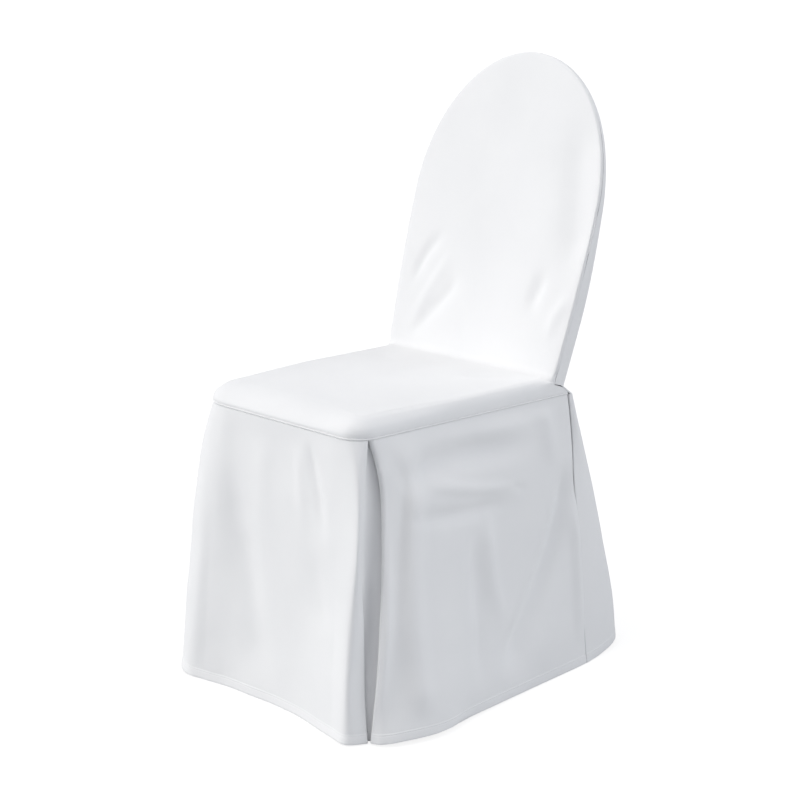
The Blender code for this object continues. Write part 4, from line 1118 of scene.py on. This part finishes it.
def make_skirt(name, rows, node, first_edge, last_edge):
    """One skirt panel with both its pleat edges turned back."""
    points = np.array([with_turned_edges(row, level, first_edge, last_edge)
                       for row, level in zip(rows, levels)])
    turned = TURN_STEPS + LAID_STEPS
    seam = with_allowance(points[:, turned:-turned])[-3:]
    sheet = join_patches(name, [
        lay_patch(points, measured_along(points, 1), hem_up(points)),
        lay_patch(seam, measured_along(seam, 1), SEAM_HEIGHT + measured_along(seam, 0))])
    finish_cloth(sheet, white_cloth(name, WHITE, SHADE, 0.82, 0.12, hem=True))
    register(sheet, node)


def make_underlay(name, first, second, node, first_edge, second_edge):
    """The underlay behind one corner pleat."""
    points = np.array([underlay_row(a, b, level, first_edge, second_edge)
                       for a, b, level in zip(first, second, levels)])
    raised = points[-1:] + (0.0, 0.0, UNDERLAY_RISE)
    seam = np.concatenate((points[-1:], raised))
    sheet = join_patches(name, [
        lay_patch(points, measured_along(points, 1), hem_up(points)),
        lay_patch(seam, measured_along(seam, 1), SEAM_HEIGHT + measured_along(seam, 0))])
    finish_cloth(sheet, white_cloth(name, WHITE, SHADE, 0.86, 0.08, hem=True))
    register(sheet, node)


def make_seat_and_inside_back():
    """The cloth over the seat and up the inside of the back."""
    patches = seat_and_inside_back_patches()
    laid = []
    for part_name, points in patches.items():
        if part_name == "seat":
            across, up = points[..., 0], points[..., 1]
        elif part_name == "inside":
            across, up = points[..., 0], up_the_back(points) + BACK_FOOT[0]
        else:
            across, up = measured_along(points, 1), measured_along(points, 0)
        laid.append(lay_patch(points, across, up))
    sheet = join_patches("seat_and_inside_back_cloth", laid)
    points = points_of(sheet)
    up = up_the_back(points)
    on_back = smooth_step((points[:, 2] - SEAT_HEIGHT - 0.004) / 0.02)
    on_seat = smooth_step((points[:, 2] - SEAT_HEIGHT + 0.012) / 0.008) * (1.0 - on_back)
    in_from_edge = np.clip(arch_room(points[:, 0], up), 0.0, 1.0)
    lift = crease_lift(INSIDE_BACK_CREASES, points[:, 0], up) * on_back
    lift += crease_lift(SEAT_CREASES, points[:, 0], points[:, 1]) * on_seat
    lift += unevenness(points + 5.0, 0.120, 0.0016) * in_from_edge * on_back
    lift += unevenness(points + 7.0, 0.100, 0.0010) * on_seat
    raise_cloth(sheet, lift)
    finish_cloth(sheet, white_cloth("seat_and_back_white", WHITE, SHADE, 0.80, 0.12))
    register(sheet, "seat_and_inside_back")


def arch_room(x, up):
    """Soft share from 0 at the back's outline to 1 well inside it."""
    on_arch = np.clip((up - ARCH_START) / (BACK_LENGTH - ARCH_START), 0, 1)
    half = BACK_HALF_WIDE * np.sqrt(1.0 - on_arch ** 2)
    room = np.minimum(half - np.abs(x), (BACK_LENGTH - up))
    return smooth_step((room - 0.006) / 0.03)


def make_outside_back():
    """The cloth round the back's edge, down the outside back and into the rear skirt."""
    patches = outside_back_patches(rear_rows)
    laid = []
    for part_name, points in patches.items():
        if part_name == "skirt":
            across, up = measured_along(points, 1), hem_up(points)
        elif part_name == "rear":
            across, up = -points[..., 0], up_the_back(points) + SEAM_HEIGHT
        else:
            across, up = measured_along(points, 1), measured_along(points, 0) + SEAM_HEIGHT
        laid.append(lay_patch(points, across, up))
    sheet = join_patches("outside_back_cloth", laid)
    points = points_of(sheet)
    up = up_the_back(points)
    on_back = smooth_step((points[:, 2] - SEAM_HEIGHT - 0.03) / 0.03) * arch_room(points[:, 0], up)
    on_back = on_back * (behind_the_face(points) > REAR_FROM)
    lift = crease_lift(OUTSIDE_BACK_CREASES, points[:, 0], up) * on_back
    lift += unevenness(points + 9.0, 0.120, 0.0018) * on_back
    raise_cloth(sheet, lift)
    finish_cloth(sheet, white_cloth("outside_back_white", WHITE, SHADE, 0.82, 0.12, hem=True))
    register(sheet, "outside_back")


def make_welt():
    """The covered cord in the seat seam."""
    last = seam_place_at(waist_edge(PANEL_BOTTOM) - 0.0014, 1)
    first = seam_place_at(waist_edge(PANEL_BOTTOM) - 0.0014, -1)
    places = np.concatenate(([first], seat_ring(), [last]))
    curve = bpy.data.curves.new("welt_line", "CURVE")
    curve.dimensions = "3D"
    curve.bevel_depth = WELT_RADIUS * 0.95
    curve.bevel_resolution = 4
    curve.use_fill_caps = True
    spline = curve.splines.new("POLY")
    spline.points.add(len(places) - 1)
    for point, place in zip(spline.points, places):
        plan, outward = seat_seam(place, 0.0011)
        point.co = (plan[0] - CENTRE[0], plan[1] - CENTRE[1], SEAM_HEIGHT, 1.0)
    welt = bpy.data.objects.new("seat_seam_welt", curve)
    bpy.context.collection.objects.link(welt)
    bpy.ops.object.select_all(action="DESELECT")
    welt.select_set(True)
    bpy.context.view_layer.objects.active = welt
    bpy.ops.object.convert(target="MESH")
    welt = bpy.context.object
    bpy.ops.object.shade_smooth_by_angle(angle=np.radians(60))
    welt.data.materials.clear()
    welt.data.materials.append(white_cloth("welt_white", WHITE, SHADE, 0.75, 0.15))
    register(welt, "seat_piping")


make_seat_and_inside_back()
make_outside_back()
for name, rows, node, first_edge, last_edge in (
        ("front_skirt_cloth", front_rows, "skirt_front", PLAIN_EDGE, PLAIN_EDGE),
        ("right_skirt_cloth", right_rows, "skirt_right", SIDE_FRONT_EDGE, REAR_EDGES),
        ("left_skirt_cloth", left_rows, "skirt_left", REAR_EDGES, PLAIN_EDGE)):
    make_skirt(name, rows, node, first_edge, last_edge)
for corner, first, second, first_edge, second_edge in (
        ("front_right", front_rows, right_rows, PLAIN_EDGE, SIDE_FRONT_EDGE),
        ("rear_right", right_rows, rear_rows, REAR_EDGES, REAR_EDGES),
        ("rear_left", rear_rows, left_rows, REAR_EDGES, REAR_EDGES),
        ("front_left", left_rows, front_rows, PLAIN_EDGE, PLAIN_EDGE)):
    make_underlay(corner + "_pleat_cloth", first, second, "pleat_" + corner,
                  first_edge, second_edge)
make_welt()

# Floor, light and camera

bpy.ops.mesh.primitive_plane_add(size=80.0, location=(0.0, 0.0, 0.0))
floor = bpy.context.object
floor.name = "studio_floor"
paper = bpy.data.materials.new("white_paper")
paper.use_nodes = True
paper_tree = paper.node_tree
lit_paper = paper_tree.nodes["Principled BSDF"]
lit_paper.inputs["Base Color"].default_value = (0.50, 0.51, 0.52, 1.0)
lit_paper.inputs["Roughness"].default_value = 0.9
bright_paper = paper_tree.nodes.new("ShaderNodeBsdfPrincipled")
bright_paper.inputs["Base Color"].default_value = (0.20, 0.20, 0.202, 1.0)
bright_paper.inputs["Roughness"].default_value = 0.9
bright_paper.inputs["Emission Color"].default_value = (1.0, 1.0, 1.0, 1.0)
bright_paper.inputs["Emission Strength"].default_value = 0.86
seen = paper_tree.nodes.new("ShaderNodeLightPath")
choice = paper_tree.nodes.new("ShaderNodeMixShader")
paper_tree.links.new(seen.outputs["Is Camera Ray"], choice.inputs[0])
paper_tree.links.new(lit_paper.outputs[0], choice.inputs[1])
paper_tree.links.new(bright_paper.outputs[0], choice.inputs[2])
paper_tree.links.new(choice.outputs[0], paper_tree.nodes["Material Output"].inputs["Surface"])
floor.data.materials.append(paper)

world = bpy.data.worlds.new("studio")
bpy.context.scene.world = world
world.use_nodes = True
world.node_tree.nodes["Background"].inputs["Color"].default_value = (0.955, 0.985, 1.06, 1.0)
world.node_tree.nodes["Background"].inputs["Strength"].default_value = 0.45

# Soft lamps: strength, colour, size in degrees, and where each shines from
LAMPS = (
    (1.66, (1.0, 0.995, 0.98), 52, (-0.62, -0.72, 0.31)),
    (0.93, (0.98, 1.0, 1.02), 40, (0.80, 0.50, 0.40)),
    (0.92, (1.03, 1.0, 0.95), 40, (-0.20, -0.40, 1.00)),
)
for strength, colour, size, place in LAMPS:
    bpy.ops.object.light_add(type="SUN", location=(0.0, -3.0, 4.0))
    lamp = bpy.context.object
    lamp.data.energy = strength
    lamp.data.color = colour
    lamp.data.angle = np.radians(size)
    lamp.rotation_euler = Vector(place).to_track_quat("Z", "Y").to_euler()

CAMERA_PLACE = (2.19802, -2.03724, 1.16404)
CAMERA_DIPS = 13.763         # degrees below level
CAMERA_TURN = 46.54          # degrees round from the front
bpy.ops.object.camera_add(
    location=(CAMERA_PLACE[0] - CENTRE[0], CAMERA_PLACE[1] - CENTRE[1], CAMERA_PLACE[2]),
    rotation=(np.radians(90 - CAMERA_DIPS), 0.0, np.radians(CAMERA_TURN)))
camera = bpy.context.object
camera.data.sensor_width = 36.0
camera.data.lens = 91.42515
bpy.context.scene.camera = camera
bpy.context.scene.view_settings.view_transform = "Standard"
